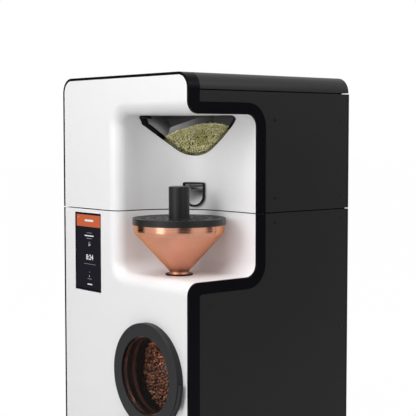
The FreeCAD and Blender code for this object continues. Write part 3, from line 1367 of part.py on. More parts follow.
def build_belt():
    """The flat belt around both pulleys: two arcs and two straight spans."""
    clear = number_of(d.run_clear)
    thick, half = number_of(d.belt_thick), number_of(d.belt_width) / 2
    big, small = number_of(d.drum_pulley) + clear, number_of(d.motor_pulley) + clear
    first = point(AXIS_X, FRONT + BELT_BACK - half, AXIS_Z)
    second = point(MOTOR_X, FRONT + BELT_BACK - half, MOTOR_Z)
    gap = second - first
    along = point(gap.x, 0, gap.z).normalize()
    across = along.cross(Y_AXIS)
    lean = math.acos((big - small) / gap.Length)

    def outline(grow):
        spots = []
        for centre, radius in ((first, big + grow), (second, small + grow)):
            ahead, aside = radius * math.cos(lean), radius * math.sin(lean)
            spots += [centre + along * ahead + across * aside, centre + along * ahead - across * aside]
        edges = [Part.makeLine(spots[0], spots[2]),
                 Part.Arc(spots[2], second + along * (small + grow), spots[3]).toShape(),
                 Part.makeLine(spots[3], spots[1]),
                 Part.Arc(spots[1], first - along * (big + grow), spots[0]).toShape()]
        return Part.Face(Part.Wire(edges)).extrude(point(0, 2 * half, 0))

    shaped("drive_belt", outline(thick).cut(outline(0.0)))


# Air: blower, heated duct and exhaust

def build_air():
    """The blower with its wheel and motor, the heated duct to the drum, and the exhaust filter."""
    radius, wide, wall = d.blower_radius, d.blower_width, 2.0
    scroll = radius + 12.0
    deep = d.duct_deep
    run = radius + 4.0
    housing = Piece("blower_housing")
    reach = AXIS_X - d.casing_radius - BLOWER_X - d.duct_long
    housing.pad("XZ", BLOWER_BACK, BLOWER_BACK + deep, ring(0.0, 0.0, scroll))
    housing.pad("XZ", BLOWER_BACK, BLOWER_BACK + deep,
                rectangle(0.0, reach, scroll - d.duct_high, scroll))
    housing.pocket("XZ", BLOWER_BACK + wall, BLOWER_BACK + deep - wall, ring(0.0, 0.0, scroll - wall))
    housing.pocket("XZ", BLOWER_BACK + wall, BLOWER_BACK + deep - wall,
                   rectangle(0.0, reach + 1.0, scroll - d.duct_high + wall, scroll - wall))
    housing.pocket("XZ", BLOWER_BACK - 1.0, BLOWER_BACK + wall + 1.0, ring(0.0, 0.0, radius - 18.0))
    shaft = d.blower_shaft
    housing.pocket("XZ", BLOWER_BACK + deep - wall - 1.0, BLOWER_BACK + deep + 1.0,
                   ring(0.0, 0.0, shaft + 1.0))
    housing.pad("XZ", BLOWER_BACK, BLOWER_BACK + 6.0,
                rectangle(-30.0, 30.0, BASE_TOP - BLOWER_Z, -scroll + 2.0))
    place(housing.body, BLOWER_X, FRONT, BLOWER_Z)
    wheel = Piece("blower_wheel")
    low = BLOWER_BACK + (deep - wide) / 2
    wheel.pad("XZ", low + wide - 2.0, low + wide, ring(0.0, 0.0, radius))
    wheel.pad("XZ", low + wide - 16.0, low + wide - 2.0, ring(0.0, 0.0, shaft + 8.0))
    blade = wheel.pad("XZ", low, low + wide - 2.0,
                      [(-5.0, radius - 15.0), (-2.6, radius - 15.5), (3.0, radius - 1.0),
                       (0.6, radius - 0.5)])
    wheel.around(blade, "XZ", "N_Axis", d.blower_blades)
    wheel.pad("XZ", low, low + 2.0, ring(0.0, 0.0, radius), ring(0.0, 0.0, radius - 14.0))
    wheel.pad("XZ", low + wide - 2.0, low + wide + 12.0, ring(0.0, 0.0, shaft))
    place(wheel.body, BLOWER_X, FRONT, BLOWER_Z)
    motor = Piece("blower_motor")
    back = BLOWER_BACK + deep
    motor.pad("XZ", back, back + 5.0, rectangle(-40.0, 40.0, -40.0, 40.0, 6.0))
    motor.pad("XZ", back + 5.0, back + d.blower_motor, ring(0.0, 0.0, 36.0))
    motor.pocket("XZ", back - 1.0, back + 20.0, ring(0.0, 0.0, shaft + d.shaft_clear))
    place(motor.body, BLOWER_X, FRONT, BLOWER_Z)
    build_duct(scroll)
    build_exhaust()


def build_duct(scroll):
    """The heated duct between the blower and the drum casing, its end cut to the casing's round."""
    wall = 2.0
    left = BLOWER_X + (AXIS_X - d.casing_radius - BLOWER_X - d.duct_long)
    low, high = BLOWER_Z + scroll - d.duct_high, BLOWER_Z + scroll
    near_y, far_y = FRONT + BLOWER_BACK, FRONT + BLOWER_BACK + d.duct_deep
    outside = block("duct_outside", (left, AXIS_X), (near_y, far_y), (low, high))
    inside = block("duct_inside", (left - 1.0, AXIS_X + 1.0), (near_y + wall, far_y - wall),
                   (low + wall, high - wall))
    room = rod("duct_room", d.casing_radius + d.run_clear, d.duct_deep + 2.0, AXIS_X, near_y - 1.0,
               AXIS_Z, "Y")
    fins = []
    count = 5
    for index in range(count):
        y = near_y + wall + (d.duct_deep - wall * 2) / (count + 1) * (index + 1)
        fins.append(block("fin_" + str(index), (left + 8.0, left + d.duct_long - 14.0), (y, y + 1.6),
                          (low + 1.0, high - 1.0)))
    pipe = cut("duct_pipe", cut("duct_hollow", outside, inside), room)
    node("heater_duct", fused("heated_duct", [pipe] + fins))


def build_exhaust():
    """The exhaust: a bent pipe from the top of the casing to a pleated filter at the louvres."""
    y = FRONT + PIPE_BACK
    low, high = AXIS_Z + LOUVRE_LOW, AXIS_Z + LOUVRE_HIGH
    near_y, far_y = REAR - d.rear_sheet - d.filter_deep, REAR - d.rear_sheet
    half, wall = d.filter_half, 1.5
    radius = number_of(d.pipe_radius)
    rise = number_of(FLOOR - d.shell_wall) - radius - 14.0
    corners = [(AXIS_X, y, AXIS_Z + d.casing_radius - 12.0), (AXIS_X, y, rise),
               (AXIS_X, near_y + 4.0, rise)]
    longer = [(AXIS_X, y, AXIS_Z)] + corners[1:2] + [(AXIS_X, near_y + 10.0, rise)]
    bend = radius + 8.0
    box = solid_box((AXIS_X - half, AXIS_X + half), (near_y, far_y), (low, high))
    room = solid_box((AXIS_X - half + wall, AXIS_X + half - wall), (near_y + wall, far_y + 1.0),
                     (low + wall, high - wall))
    casing = Part.makeCylinder(number_of(d.casing_radius) + 0.2, 200.0,
                               point(AXIS_X, y - 100.0, AXIS_Z), Y_AXIS)
    pipe = swept(corners, bend, radius).cut(casing)
    body = pipe.fuse(box).cut(room).cut(swept(longer, bend, radius - 1.5))
    shaped("exhaust_filter", largest(body.fuse(pleats(low + wall, high - wall, near_y))))


def pleats(low, high, near_y):
    """The zigzag filter sheet across the box."""
    half = number_of(d.filter_half) - 1.0
    count = int(number_of(d.filter_pleats))
    low, high, start = number_of(low) - 0.5, number_of(high) + 0.5, number_of(near_y) + 30.0
    rise = (high - low) / count
    front = [point(0, start + PLEAT * (index % 2), low + rise * index) for index in range(count + 1)]
    back = [spot + point(0, 3.0, 0) for spot in reversed(front)]
    face = Part.Face(Part.makePolygon(front + back + [front[0]]))
    face.translate(point(number_of(AXIS_X) - half, 0, 0))
    return face.extrude(point(2 * half, 0, 0))


# Drawer

def build_drawer():
    """The bean drawer: a moulded front and a folded tray."""
    half = d.drawer_wide / 2
    low, high = d.drawer_low, d.drawer_low + d.drawer_tall
    front = Piece("drawer_front")
    back = d.drawer_front
    front.pad("XZ", -d.drawer_proud, back, rectangle(-half, half, low, high, 4.0))
    front.pocket("XZ", -d.drawer_proud - 1.0, back - 4.0,
                 rectangle(-half * 0.5, half * 0.5, high - 24.0, high - 8.0, 5.0))
    place(front.body, DRAWER_X, FRONT, 0.0)
    tray = Piece("bean_drawer")
    side, sheet = half - d.drawer_side, d.drawer_sheet
    floor, rim = d.drawer_low + d.tray_up, high - d.tray_down
    tray.pad("XY", floor, rim, rectangle(-side, side, back, back + d.drawer_deep, 6.0))
    tray.pocket("XY", floor + sheet, rim + 1.0,
                rectangle(-side + sheet, side - sheet, back + sheet, back + d.drawer_deep - sheet, 4.5))
    place(tray.body, DRAWER_X, FRONT, 0.0)


# Chassis, base and feet

def frame_bars(name, low, high, rail_low, front_right_top, behind):
    """The posts and rails of one module's frame; its rear rail ends before the rear sheet by behind."""
    bar, deep = d.frame_bar, d.frame_deep
    out = PANEL_IN
    posts = {"rear_left": (-1, POST_REAR, high), "rear_right": (1, POST_REAR, high),
             "front_left": (-1, POST_FRONT, high), "middle_right": (1, POST_MIDDLE, high)}
    if front_right_top is not None:
        posts["front_right"] = (1, POST_FRONT, front_right_top)
    bars = []
    for label, (side, back, top) in posts.items():
        xs = (out - bar, out) if side > 0 else (-out, -out + bar)
        ys = (FRONT + back - deep / 2, FRONT + back + deep / 2)
        bars.append(block(name + label, xs, ys, (low, top)))
    rear = FRONT + POST_REAR
    rise = (rail_low, rail_low + bar)
    bars.append(block(name + "left_rail", (-out, -out + bar), (FRONT + POST_FRONT, rear), rise))
    bars.append(block(name + "right_rail", (out - bar, out), (FRONT + POST_MIDDLE, rear), rise))
    bend = d.rear_sheet + d.play
    bars.append(block(name + "rear_rail", (-out + bend, out - bend),
                      (rear, REAR - d.rear_sheet - behind), rise))
    return bars


def light_stops():
    """Strips of the upper frame that close the seam between the modules and the gap below the cap."""
    bar = d.frame_bar
    out, rear = PANEL_IN, FRONT + POST_REAR
    stops = []
    for label, rise, inset, thick in (("seam", (UNDER, UNDER + SEAM_STOP), 0.0, bar),
                                      ("cap", (SKIN_TOP - 1.0, CAP_LOW + CAP_STOP), 3.0, 2.0)):
        left = (-out + inset, -out + inset + thick)
        right = (out - inset - thick, out - inset)
        ends = (-out + d.rear_sheet + d.play + inset, out - d.rear_sheet - d.play - inset)
        stops.append(block(label + "_stop_left", left, (FRONT + POST_FRONT, rear + thick), rise))
        stops.append(block(label + "_stop_right", right, (FRONT + POST_MIDDLE, rear + thick), rise))
        stops.append(block(label + "_stop_rear", ends, (rear, rear + thick), rise))
    return stops


def screw_bores(name, module, low, high):
    """Holes in the frame for the shanks of the panel screws."""
    bores = []
    for side, spots in panel_screws().items():
        if not side.startswith(module):
            continue
        for index, (y, z) in enumerate(spots):
            start = PANEL_IN - SHANK_BEYOND - 0.5 if side.endswith("right") else -PANEL_IN - 1.0
            bores.append(rod(name + side + str(index), SCREW_HOLE - 0.1, SHANK_BEYOND + 1.5,
                             start, FRONT + y, SEAM + z, "X"))
    return bores


def build_frames():
    """The frame of each module, the base pan and the feet."""
    lower = frame_bars("lower_", BASE_TOP, UNDER, UNDER - d.frame_bar, FLOOR - d.recess_band, 0.0)
    for side in (-1, 1):
        edge = DRAWER_X + side * (d.drawer_wide / 2 - d.drawer_side + 4.0)
        web = (edge, edge + 2.0) if side > 0 else (edge - 2.0, edge)
        shelf = (edge - 16.0, edge + 1.0) if side > 0 else (edge - 1.0, edge + 16.0)
        ys = (FRONT + d.drawer_front + 30.0, FRONT + d.drawer_front + d.drawer_deep)
        top = d.drawer_low + d.tray_up - d.run_clear
        label = "runner_" + ("right" if side > 0 else "left")
        lower.append(block(label + "_web", web, ys, (BASE_TOP, top + 14.0)))
        lower.append(block(label + "_shelf", shelf, ys, (top - 2.0, top)))
    sill = (FRONT + POST_FRONT, FRONT + POST_FRONT + d.frame_bar)
    lower.append(block("front_sill", (-PANEL_IN, PANEL_IN), sill, (BASE_TOP, BASE_TOP + 2.0)))
    node("lower_frame", cut("lower_bored", fused("lower_all", lower),
                            group("lower_bores", screw_bores("low_bore_", "lower", BASE, UNDER))))
    upper = frame_bars("upper_", UNDER, SKIN_TOP, SKIN_TOP - d.frame_bar, None, LEAF) + light_stops()
    node("upper_frame", cut("upper_bored", fused("upper_all", upper),
                            group("upper_bores", screw_bores("up_bore_", "upper", OVER, TOP))))
    pan = Piece("base_pan")
    near_y, far_y = FRONT + d.front_band + d.run_clear, REAR - d.rear_sheet
    side = PANEL_IN
    pan.pad("XY", BASE, BASE_TOP, rectangle(-side, side, near_y, far_y, 3.0))
    build_feet()


def build_feet():
    """The four rubber feet."""
    feet = []
    for x in (-FOOT_X, FOOT_X):
        for y in (-FOOT_Y, FOOT_Y):
            name = "foot_" + str(len(feet))
            pad = rod(name + "_pad", d.foot_radius, d.foot_height * 0.6, x, y, 0.0)
            neck = rod(name + "_neck", d.foot_radius * 0.7, d.foot_height * 0.4, x, y,
                       d.foot_height * 0.6)
            feet.append(fused(name, [pad, neck]))
    node("feet", group("feet_group", feet))


# Power inlet and switch

def build_power():
    """The carrier behind the rear panel with the inlet and the switch frame, and the rocker."""
    left, right = inlet_span()
    low, high = inlet_rise()
    near_x, far_x = switch_span()
    down, up = switch_rise()
    face = REAR - d.rear_sheet
    play = d.run_clear
    deep = 26.0
    carrier = Piece("power_inlet")
    carrier.pad("XZ", face - 2.0, face, rectangle(left - 6.0, far_x + 6.0, down - 6.0, up + 6.0, 3.0))
    carrier.pad("XZ", face - deep, REAR,
                rectangle(left + play, right - play, low + play, high - play, 2.0))
    carrier.pocket("XZ", REAR - 16.0, REAR + 1.0,
                   rectangle(left + 3.0, right - 3.0, low + 3.0, high - 3.0, 1.5))
    middle_x, middle_z = (left + right) / 2, (low + high) / 2
    for shift, lift in ((-7.0, -2.0), (7.0, -2.0), (0.0, 2.5)):
        carrier.pad("XZ", REAR - 17.0, REAR - 3.0,
                    rectangle(middle_x + shift - 1.0, middle_x + shift + 1.0, middle_z + lift - 2.0,
                              middle_z + lift + 2.0))
    carrier.pad("XZ", face - deep, REAR,
                rectangle(near_x + play, far_x - play, down + play, up - play, 2.0))
    carrier.pocket("XZ", REAR - 12.0, REAR + 1.0,
                   rectangle(near_x + 2.0, far_x - 2.0, down + 2.0, up - 2.0))
    middle = (down + up) / 2
    carrier.pocket("YZ", near_x + 1.0, far_x - 1.0,
                   ring(ROCKER_Y, middle, ROCKER_PIVOT + d.shaft_clear))
    half = (up - down) / 2 - 2.0 - play * 2
    rocker = Piece("power_switch")
    rocker.pad("YZ", near_x + 2.0 + play, far_x - 2.0 - play,
               [(-5.0, -half * 0.7), (-5.0, half * 0.7), (2.2, half), (4.2, half * 0.5), (2.8, 0.0),
                (4.2, -half * 0.5), (2.2, -half)])
    rocker.pad("YZ", near_x + 1.0 + play, far_x - 1.0 - play, ring(0.0, 0.0, ROCKER_PIVOT))
    rocker.body.Placement = FreeCAD.Placement(point(0, ROCKER_Y, middle),
                                              FreeCAD.Rotation(X_AXIS, ROCKER_REST))


# Finish

def check_and_write():
    """Recompute, refuse anything failed or invalid, and write one file for each sub-part."""
    doc.recompute()
    failed = [o.Name for o in doc.Objects if "Invalid" in o.State or "Error" in o.State]
    if failed:
        raise RuntimeError("failed objects: " + ", ".join(failed))
    os.makedirs("parts", exist_ok=True)
    for label, thing in NODES.items():
        shape = thing.Shape
        if shape.isNull() or not shape.isValid() or not shape.Solids:
            raise RuntimeError("no valid solid in " + label)
        shape.exportStep(os.path.join("parts", label + ".step"))


build_shells()
build_trims()
build_panels()
build_rear()
build_cap()
build_funnel()
build_charge_chute()
build_hopper()
build_feeder()
build_port()
build_screen()
build_door()
build_drum()
build_drive()
build_air()
build_drawer()
build_frames()
build_power()
check_and_write()
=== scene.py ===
"""Upright coffee roaster: finishes, beans, display and studio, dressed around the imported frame."""

import json
import logging
import math
import random
from collections.abc import Callable, Iterator
from dataclasses import dataclass
from enum import Enum

import bmesh
import bpy
from mathutils import Euler, Matrix, Vector
from mathutils.bvhtree import BVHTree

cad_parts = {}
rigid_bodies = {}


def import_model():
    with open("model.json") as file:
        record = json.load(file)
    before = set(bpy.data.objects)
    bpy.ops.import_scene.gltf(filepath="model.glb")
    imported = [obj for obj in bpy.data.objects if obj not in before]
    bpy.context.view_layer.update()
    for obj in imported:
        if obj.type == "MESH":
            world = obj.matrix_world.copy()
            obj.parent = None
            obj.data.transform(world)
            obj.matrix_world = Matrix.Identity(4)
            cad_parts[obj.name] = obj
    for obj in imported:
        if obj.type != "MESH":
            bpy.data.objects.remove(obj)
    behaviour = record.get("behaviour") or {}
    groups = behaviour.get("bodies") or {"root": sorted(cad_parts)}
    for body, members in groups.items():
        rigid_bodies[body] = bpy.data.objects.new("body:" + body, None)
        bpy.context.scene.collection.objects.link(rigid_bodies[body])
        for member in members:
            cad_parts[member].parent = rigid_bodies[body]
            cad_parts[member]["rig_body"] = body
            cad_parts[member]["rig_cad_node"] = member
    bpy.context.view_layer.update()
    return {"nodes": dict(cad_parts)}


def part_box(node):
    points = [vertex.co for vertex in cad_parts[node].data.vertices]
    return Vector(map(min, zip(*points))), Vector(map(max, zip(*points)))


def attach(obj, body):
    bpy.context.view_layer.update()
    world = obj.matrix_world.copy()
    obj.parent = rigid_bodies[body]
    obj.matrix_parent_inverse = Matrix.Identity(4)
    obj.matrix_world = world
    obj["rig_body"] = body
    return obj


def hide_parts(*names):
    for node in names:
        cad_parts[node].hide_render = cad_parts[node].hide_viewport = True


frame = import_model()
LOG = logging.getLogger("roaster")
MM = 0.001
BLACK = (0.0, 0.0, 0.0)
WHITE = (1.0, 1.0, 1.0)
Color = tuple[float, float, float]
Spot = tuple[float, float, float] | Vector
Seat = tuple[Vector, Vector]


class Value:
    """A shader socket that takes part in Python expressions."""

    def __init__(self, graph: "Graph", socket: bpy.types.NodeSocket) -> None:
        """Keeps the socket and the nodes that it belongs to."""
        self.graph = graph
        self.socket = socket

    def through(self, operation: str, *others: "Value | float") -> "Value":
        """Passes this value through one Math node.

        Args:
            operation: The node's operation.
            others: What follows this value in the node.

        Returns:
            The result.
        """
        inputs = {index + 1: other for index, other in enumerate(others)}
        return self.graph.node("ShaderNodeMath", {"operation": operation}, {0: self, **inputs})

    def __add__(self, other: "Value | float") -> "Value":
        """Adds."""
        return self.through("ADD", other)

    __radd__ = __add__

    def __sub__(self, other: "Value | float") -> "Value":
        """Subtracts."""
        return self.through("SUBTRACT", other)

    def __rsub__(self, other: float) -> "Value":
        """Subtracts this value from a number."""
        return self.through("MULTIPLY", -1.0) + other

    def __mul__(self, other: "Value | float") -> "Value":
        """Multiplies."""
        return self.through("MULTIPLY", other)

    __rmul__ = __mul__

    def __truediv__(self, other: "Value | float") -> "Value":
        """Divides."""
        return self.through("DIVIDE", other)

    def __pow__(self, other: float) -> "Value":
        """Raises to a power."""
        return self.through("POWER", other)

    def __gt__(self, other: "Value | float") -> "Value":
        """One where this value is the larger, else zero."""
        return self.through("GREATER_THAN", other)

    def __lt__(self, other: "Value | float") -> "Value":
        """One where this value is the smaller, else zero."""
        return self.through("LESS_THAN", other)


class Graph:
    """The nodes of a material or of the world."""

    def __init__(self, owner: "bpy.types.Material | bpy.types.World") -> None:
        """Empties the owner's nodes.

        Args:
            owner: The material or the world that the nodes are for.
        """
        self.owner = owner
        self.owner.use_nodes = True
        self.tree = self.owner.node_tree
        self.tree.nodes.clear()

    @classmethod
    def of(cls, name: str) -> "Graph":
        """Returns the nodes of a new material."""
        return cls(bpy.data.materials.new(name))

    def node(self, kind: str, settings: dict[str, object], inputs: dict[str | int, object],
             output: str | int = 0) -> Value:
        """Adds a node of any type.

        Args:
            kind: The node's type.
            settings: Its properties, set first.
            inputs: A value or a link for each socket, by name or place.
            output: The output that is returned, by name or place.

        Returns:
            The chosen output.
        """
        made = self.tree.nodes.new(kind)
        for key, value in settings.items():
            setattr(made, key, value)
        for key, value in inputs.items():
            if isinstance(value, Value):
                self.tree.links.new(value.socket, made.inputs[key])
            else:
                made.inputs[key].default_value = value
        return Value(self, made.outputs[output])

    def also(self, first: Value, output: str | int) -> Value:
        """Another output of the node that a value comes from."""
        return Value(self, first.socket.node.outputs[output])

    def place(self) -> Value:
        """The object coordinates, in metres."""
        return self.node("ShaderNodeTexCoord", {}, {}, "Object")

    def axes(self) -> tuple[Value, Value, Value]:
        """The object coordinates as three numbers."""
        apart = self.node("ShaderNodeSeparateXYZ", {}, {0: self.place()})
        return apart, self.also(apart, 1), self.also(apart, 2)

    def noise(self, size: float, detail: float = 2.0, vector: Value | None = None) -> Value:
        """Noise whose blotches are about as wide as size, in metres."""
        return self.node("ShaderNodeTexNoise", {},
                         {"Vector": vector or self.place(), "Scale": 1.0 / size, "Detail": detail})

    def blend(self, mask: Value | float, low: Value | Color, high: Value | Color) -> Value:
        """Mixes two colours.

        Args:
            mask: How much of the second colour there is.
            low: The colour where the mask is zero.
            high: The colour where the mask is one.

        Returns:
            The mixed colour.
        """
        low = low if isinstance(low, Value) else (*low, 1.0)
        high = high if isinstance(high, Value) else (*high, 1.0)
        return self.node("ShaderNodeMix", {"data_type": "RGBA"}, {0: mask, 6: low, 7: high}, 2)

    def bump(self, height: Value, distance: float) -> Value:
        """A normal bent by a height, where a height of one stands out by a distance in metres."""
        return self.node("ShaderNodeBump", {}, {"Height": height, "Distance": distance, "Strength": 1.0})

    def glow(self, strength: Value | float) -> Value:
        """White light of a strength, where one is white to the eye."""
        return self.node("ShaderNodeEmission", {}, {"Color": (*WHITE, 1.0), "Strength": strength})

    def surface(self, inputs: dict[str | int, object]) -> bpy.types.Material:
        """Finishes the material with a Principled shader and returns it."""
        return self.finish(self.node("ShaderNodeBsdfPrincipled", {}, inputs))

    def finish(self, shader: Value, output: str = "ShaderNodeOutputMaterial") -> bpy.types.Material:
        """Links the shader to the output and returns the owner."""
        self.tree.links.new(shader.socket, self.tree.nodes.new(output).inputs["Surface"])
        return self.owner


@dataclass(frozen=True)
class Satin:
    """Paint, moulded plastic or rubber: a fine grain, slight blotches and a soft sheen."""

    name: str
    color: Color
    roughness: float
    specular: float = 0.5
    metallic: float = 0.0
    grain: float = 0.6 * MM
    depth: float = 0.01 * MM
    mottle: float = 0.06
    cloud: float = 60 * MM
    drift: float = 0.08
    smudge: float = 14 * MM

    def build(self) -> bpy.types.Material:
        """Makes the material.

        Returns:
            The material.
        """
        graph = Graph.of(self.name)
        cloud = graph.noise(self.cloud)
        dark = tuple(part * (1.0 - self.mottle) for part in self.color)
        rough = self.roughness + self.drift * (graph.noise(self.smudge, 4.0) - 0.5)
        normal = graph.bump(graph.noise(self.grain, 3.0), self.depth)
        return graph.surface({
            "Base Color": graph.blend(cloud, dark, self.color), "Roughness": rough, "Normal": normal,
            "Metallic": self.metallic, "Specular IOR Level": self.specular})


class Lay(Enum):
    """The way that the lines of a brushed or turned surface run."""

    ALONG_X = "along x"
    ROUND_Z = "round z"
    ROUND_Y = "round y"


@dataclass(frozen=True)
class Brushed:
    """Metal with fine lines, straight or round an axis.

    It turns matt below a height, and outside a plain band from front to back it is much darker, where it has
    them.
    """

    name: str
    color: Color
    roughness: float
    lay: Lay
    centre: tuple[float, float, float] = (0.0, 0.0, 0.0)
    line: float = 0.25 * MM
    run: float = 40 * MM
    depth: float = 0.006 * MM
    lines: float = 0.12
    stain: Color | None = None
    anisotropy: float = 0.4
    turn: float = 0.0
    edge: Color = WHITE
    matt_below: float = -1.0
    matt: float = 0.0
    dark_off_band: Color | None = None
    plain_band: tuple[float, float] = (0.0, 0.0)
    dull: float = 0.82
    cloud: float = 45 * MM
    drift: float = 0.08

    def lines_at(self, graph: Graph) -> Value:
        """Stretches the coordinates along the lines.

        Args:
            graph: The material's nodes.

        Returns:
            Coordinates in which the lines are as long as run and as wide as line.
        """
        x, y, z = (axis - start for axis, start in zip(graph.axes(), self.centre))
        across, along = 1.0 / self.line, 1.0 / self.run
        if self.lay is Lay.ALONG_X:
            parts = (x * along, y * across, z * across)
        elif self.lay is Lay.ROUND_Z:
            parts = ((x * x + y * y) ** 0.5 * across, z * across, x.through("ARCTAN2", y) * 0.5)
        else:
            parts = ((x * x + z * z) ** 0.5 * across, y * across, x.through("ARCTAN2", z) * 0.5)
        return graph.node("ShaderNodeCombineXYZ", {}, dict(enumerate(parts)))

    def build(self) -> bpy.types.Material:
        """Makes the material.

        Returns:
            The material.
        """
        graph = Graph.of(self.name)
        lines = graph.noise(1.0, 3.0, self.lines_at(graph))
        cloud = graph.noise(self.cloud, 3.0)
        dark = self.stain or tuple(part * self.dull for part in self.color)
        rough = self.roughness + self.lines * (lines - 0.5) + self.drift * (cloud - 0.5)
        if self.matt:
            rough = rough + self.matt * (graph.axes()[2] < self.matt_below)
        color = graph.blend(0.5 * cloud + 0.5 * lines, dark, self.color)
        # Much darker colour everywhere outside the plain band.
        if self.dark_off_band:
            y = graph.axes()[1]
            color = graph.blend((y > self.plain_band[0]) * (y < self.plain_band[1]), self.dark_off_band, color)
        return graph.surface({
            "Base Color": color, "Metallic": 1.0, "Roughness": rough,
            "Normal": graph.bump(lines, self.depth), "Anisotropic": self.anisotropy,
            "Anisotropic Rotation": self.turn, "Specular Tint": (*self.edge, 1.0)})


class Feed:
    """The bean feed's own frame: across the window, inward, and up from the seam."""

    ORIGIN = Vector((57.5 * MM, -73.446 * MM, 770 * MM))
    ANGLE = math.radians(30.0)
    TURN = Matrix.Rotation(ANGLE, 3, "Z")

    @classmethod
    def out(cls, across: float, inward: float, rise: float) -> Vector:
        """Returns the place in the cabinet's frame of a place in the feed."""
        return cls.ORIGIN + cls.TURN @ Vector((across, inward, rise))

    @classmethod
    def into(cls, spot: Vector) -> Vector:
        """Returns the place in the feed of a place in the cabinet's frame."""
        return cls.TURN.transposed() @ (spot - cls.ORIGIN)

    @classmethod
    def across(cls, graph: Graph) -> tuple[Value, Value]:
        """Reads where in the feed a point of a material lies.

        Args:
            graph: The material's nodes.

        Returns:
            How far it lies across the window, and how far above the seam.
        """
        x, y, z = graph.axes()
        turned = (x - cls.ORIGIN.x) * math.cos(cls.ANGLE) + (y - cls.ORIGIN.y) * math.sin(cls.ANGLE)
        return turned, z - cls.ORIGIN.z


class Crown:
    """The line of the green beans along the window: an arc, highest right of the middle."""

    RADIUS = 251 * MM
    MIDDLE = 47 * MM
    TOP = 254.7 * MM
    ENDS = ((-96 * MM, 210 * MM), (129 * MM, 241 * MM))

    @classmethod
    def at(cls, across: float) -> float:
        """Returns the line's height above the seam."""
        off = min(abs(across - cls.MIDDLE), cls.RADIUS)
        return cls.TOP - cls.RADIUS + math.sqrt(cls.RADIUS ** 2 - off ** 2)


@dataclass(frozen=True)
class Pane:
    """Thin glass that is seen through, clear or darkened with painted shade.

    Cover is how much the glass hides; a high cover is painted shade, standing for the shaded inside of
    the hopper behind it. Below the line of the beans only a share of it is left, and right of and above
    the place clear_from, across the feed and up from the seam, still less.
    """

    name: str
    tint: Color
    cover: float
    gloss: float = 0.08
    specular: float = 0.5
    share: float = 1.0
    clear_from: tuple[float, float] | None = None
    cleared: float = 0.9
    smudge: float = 30 * MM

    def build(self) -> bpy.types.Material:
        """Makes the material.

        Returns:
            The material.
        """
        graph = Graph.of(self.name)
        clear = graph.node("ShaderNodeBsdfTransparent", {}, {})
        wipe = graph.noise(self.smudge, 3.0)
        skin = graph.node("ShaderNodeBsdfPrincipled", {}, {
            "Base Color": (*self.tint, 1.0), "Roughness": 0.03 + 0.05 * wipe, "IOR": 1.5,
            "Specular IOR Level": self.specular})
        edge = graph.node("ShaderNodeFresnel", {}, {"IOR": 1.45})
        cover = self.cover + self.gloss * edge
        if self.share < 1.0:
            across, rise = Feed.across(graph)
            (left, low), (right, high) = Crown.ENDS
            bare = rise > (across - left) * ((high - low) / (right - left)) + low
            cover = cover * (self.share + (1.0 - self.share) * bare)
            if self.clear_from:
                top = (rise > self.clear_from[1]) * (across > self.clear_from[0])
                cover = cover * (1.0 - self.cleared * top)
        return graph.finish(graph.node("ShaderNodeMixShader", {}, {0: cover, 1: clear, 2: skin}))


@dataclass(frozen=True)
class LightPaintedSheet:
    """Dark sheet metal in the hopper, with painted light: pale toward its left end, as if lit, and painted
    shade toward its right.
    """

    name: str
    color: Color
    lit_tone: Color
    roughness: float
    left: float
    right: float
    patch: float = 16 * MM
    patchy: float = 0.25
    falloff: float = 0.6

    def build(self) -> bpy.types.Material:
        """Makes the material.

        Returns:
            The material.
        """
        graph = Graph.of(self.name)
        across, _ = Feed.across(graph)
        # Painted light and shade: pale at the left end as if lit, dark toward the right as if shaded, with
        # blotches.
        share = (across - self.left) * (1.0 / (self.right - self.left))
        shade_share = share + self.patchy * (graph.noise(self.patch, 4.0) - 0.5)
        color = graph.blend(shade_share.through("MAXIMUM", 0.0) ** self.falloff, self.lit_tone, self.color)
        return graph.surface({
            "Base Color": color, "Roughness": self.roughness + 0.1 * (graph.noise(3 * MM) - 0.5),
            "Specular IOR Level": 0.35, "Normal": graph.bump(graph.noise(1.0 * MM, 3.0), 0.02 * MM)})


@dataclass(frozen=True)
class BeanSkin:
    """The skin of coffee beans, a little different from bean to bean, with painted shade in the gaps: the
    core between the beans is dark.
    """

    name: str
    light: Color
    dark: Color
    gap_shade: Color
    roughness: float
    oil: float
    by_bean: float = 0.75
    by_streak: float = 0.35
    streak: float = 3 * MM
    wrinkle: float = 1.2 * MM
    depth: float = 0.15 * MM

    def build(self) -> bpy.types.Material:
        """Makes the material.

        Returns:
            The material.
        """
        graph = Graph.of(self.name)
        tint = graph.node("ShaderNodeAttribute", {"attribute_name": BeanHeap.TINT}, {}, "Fac")
        streak = graph.noise(self.streak, 3.0)
        mask = tint * self.by_bean + streak * self.by_streak
        # Painted shade: the core's faces, seen between the beans, take the dark gap colour.
        color = graph.blend(tint < 0.0, graph.blend(mask, self.dark, self.light), self.gap_shade)
        normal = graph.bump(graph.noise(self.wrinkle, 3.0), self.depth)
        return graph.surface({
            "Base Color": color, "Normal": normal, "Roughness": self.roughness + 0.15 * (streak - 0.5),
            "Coat Weight": self.oil, "Coat Roughness": 0.25})


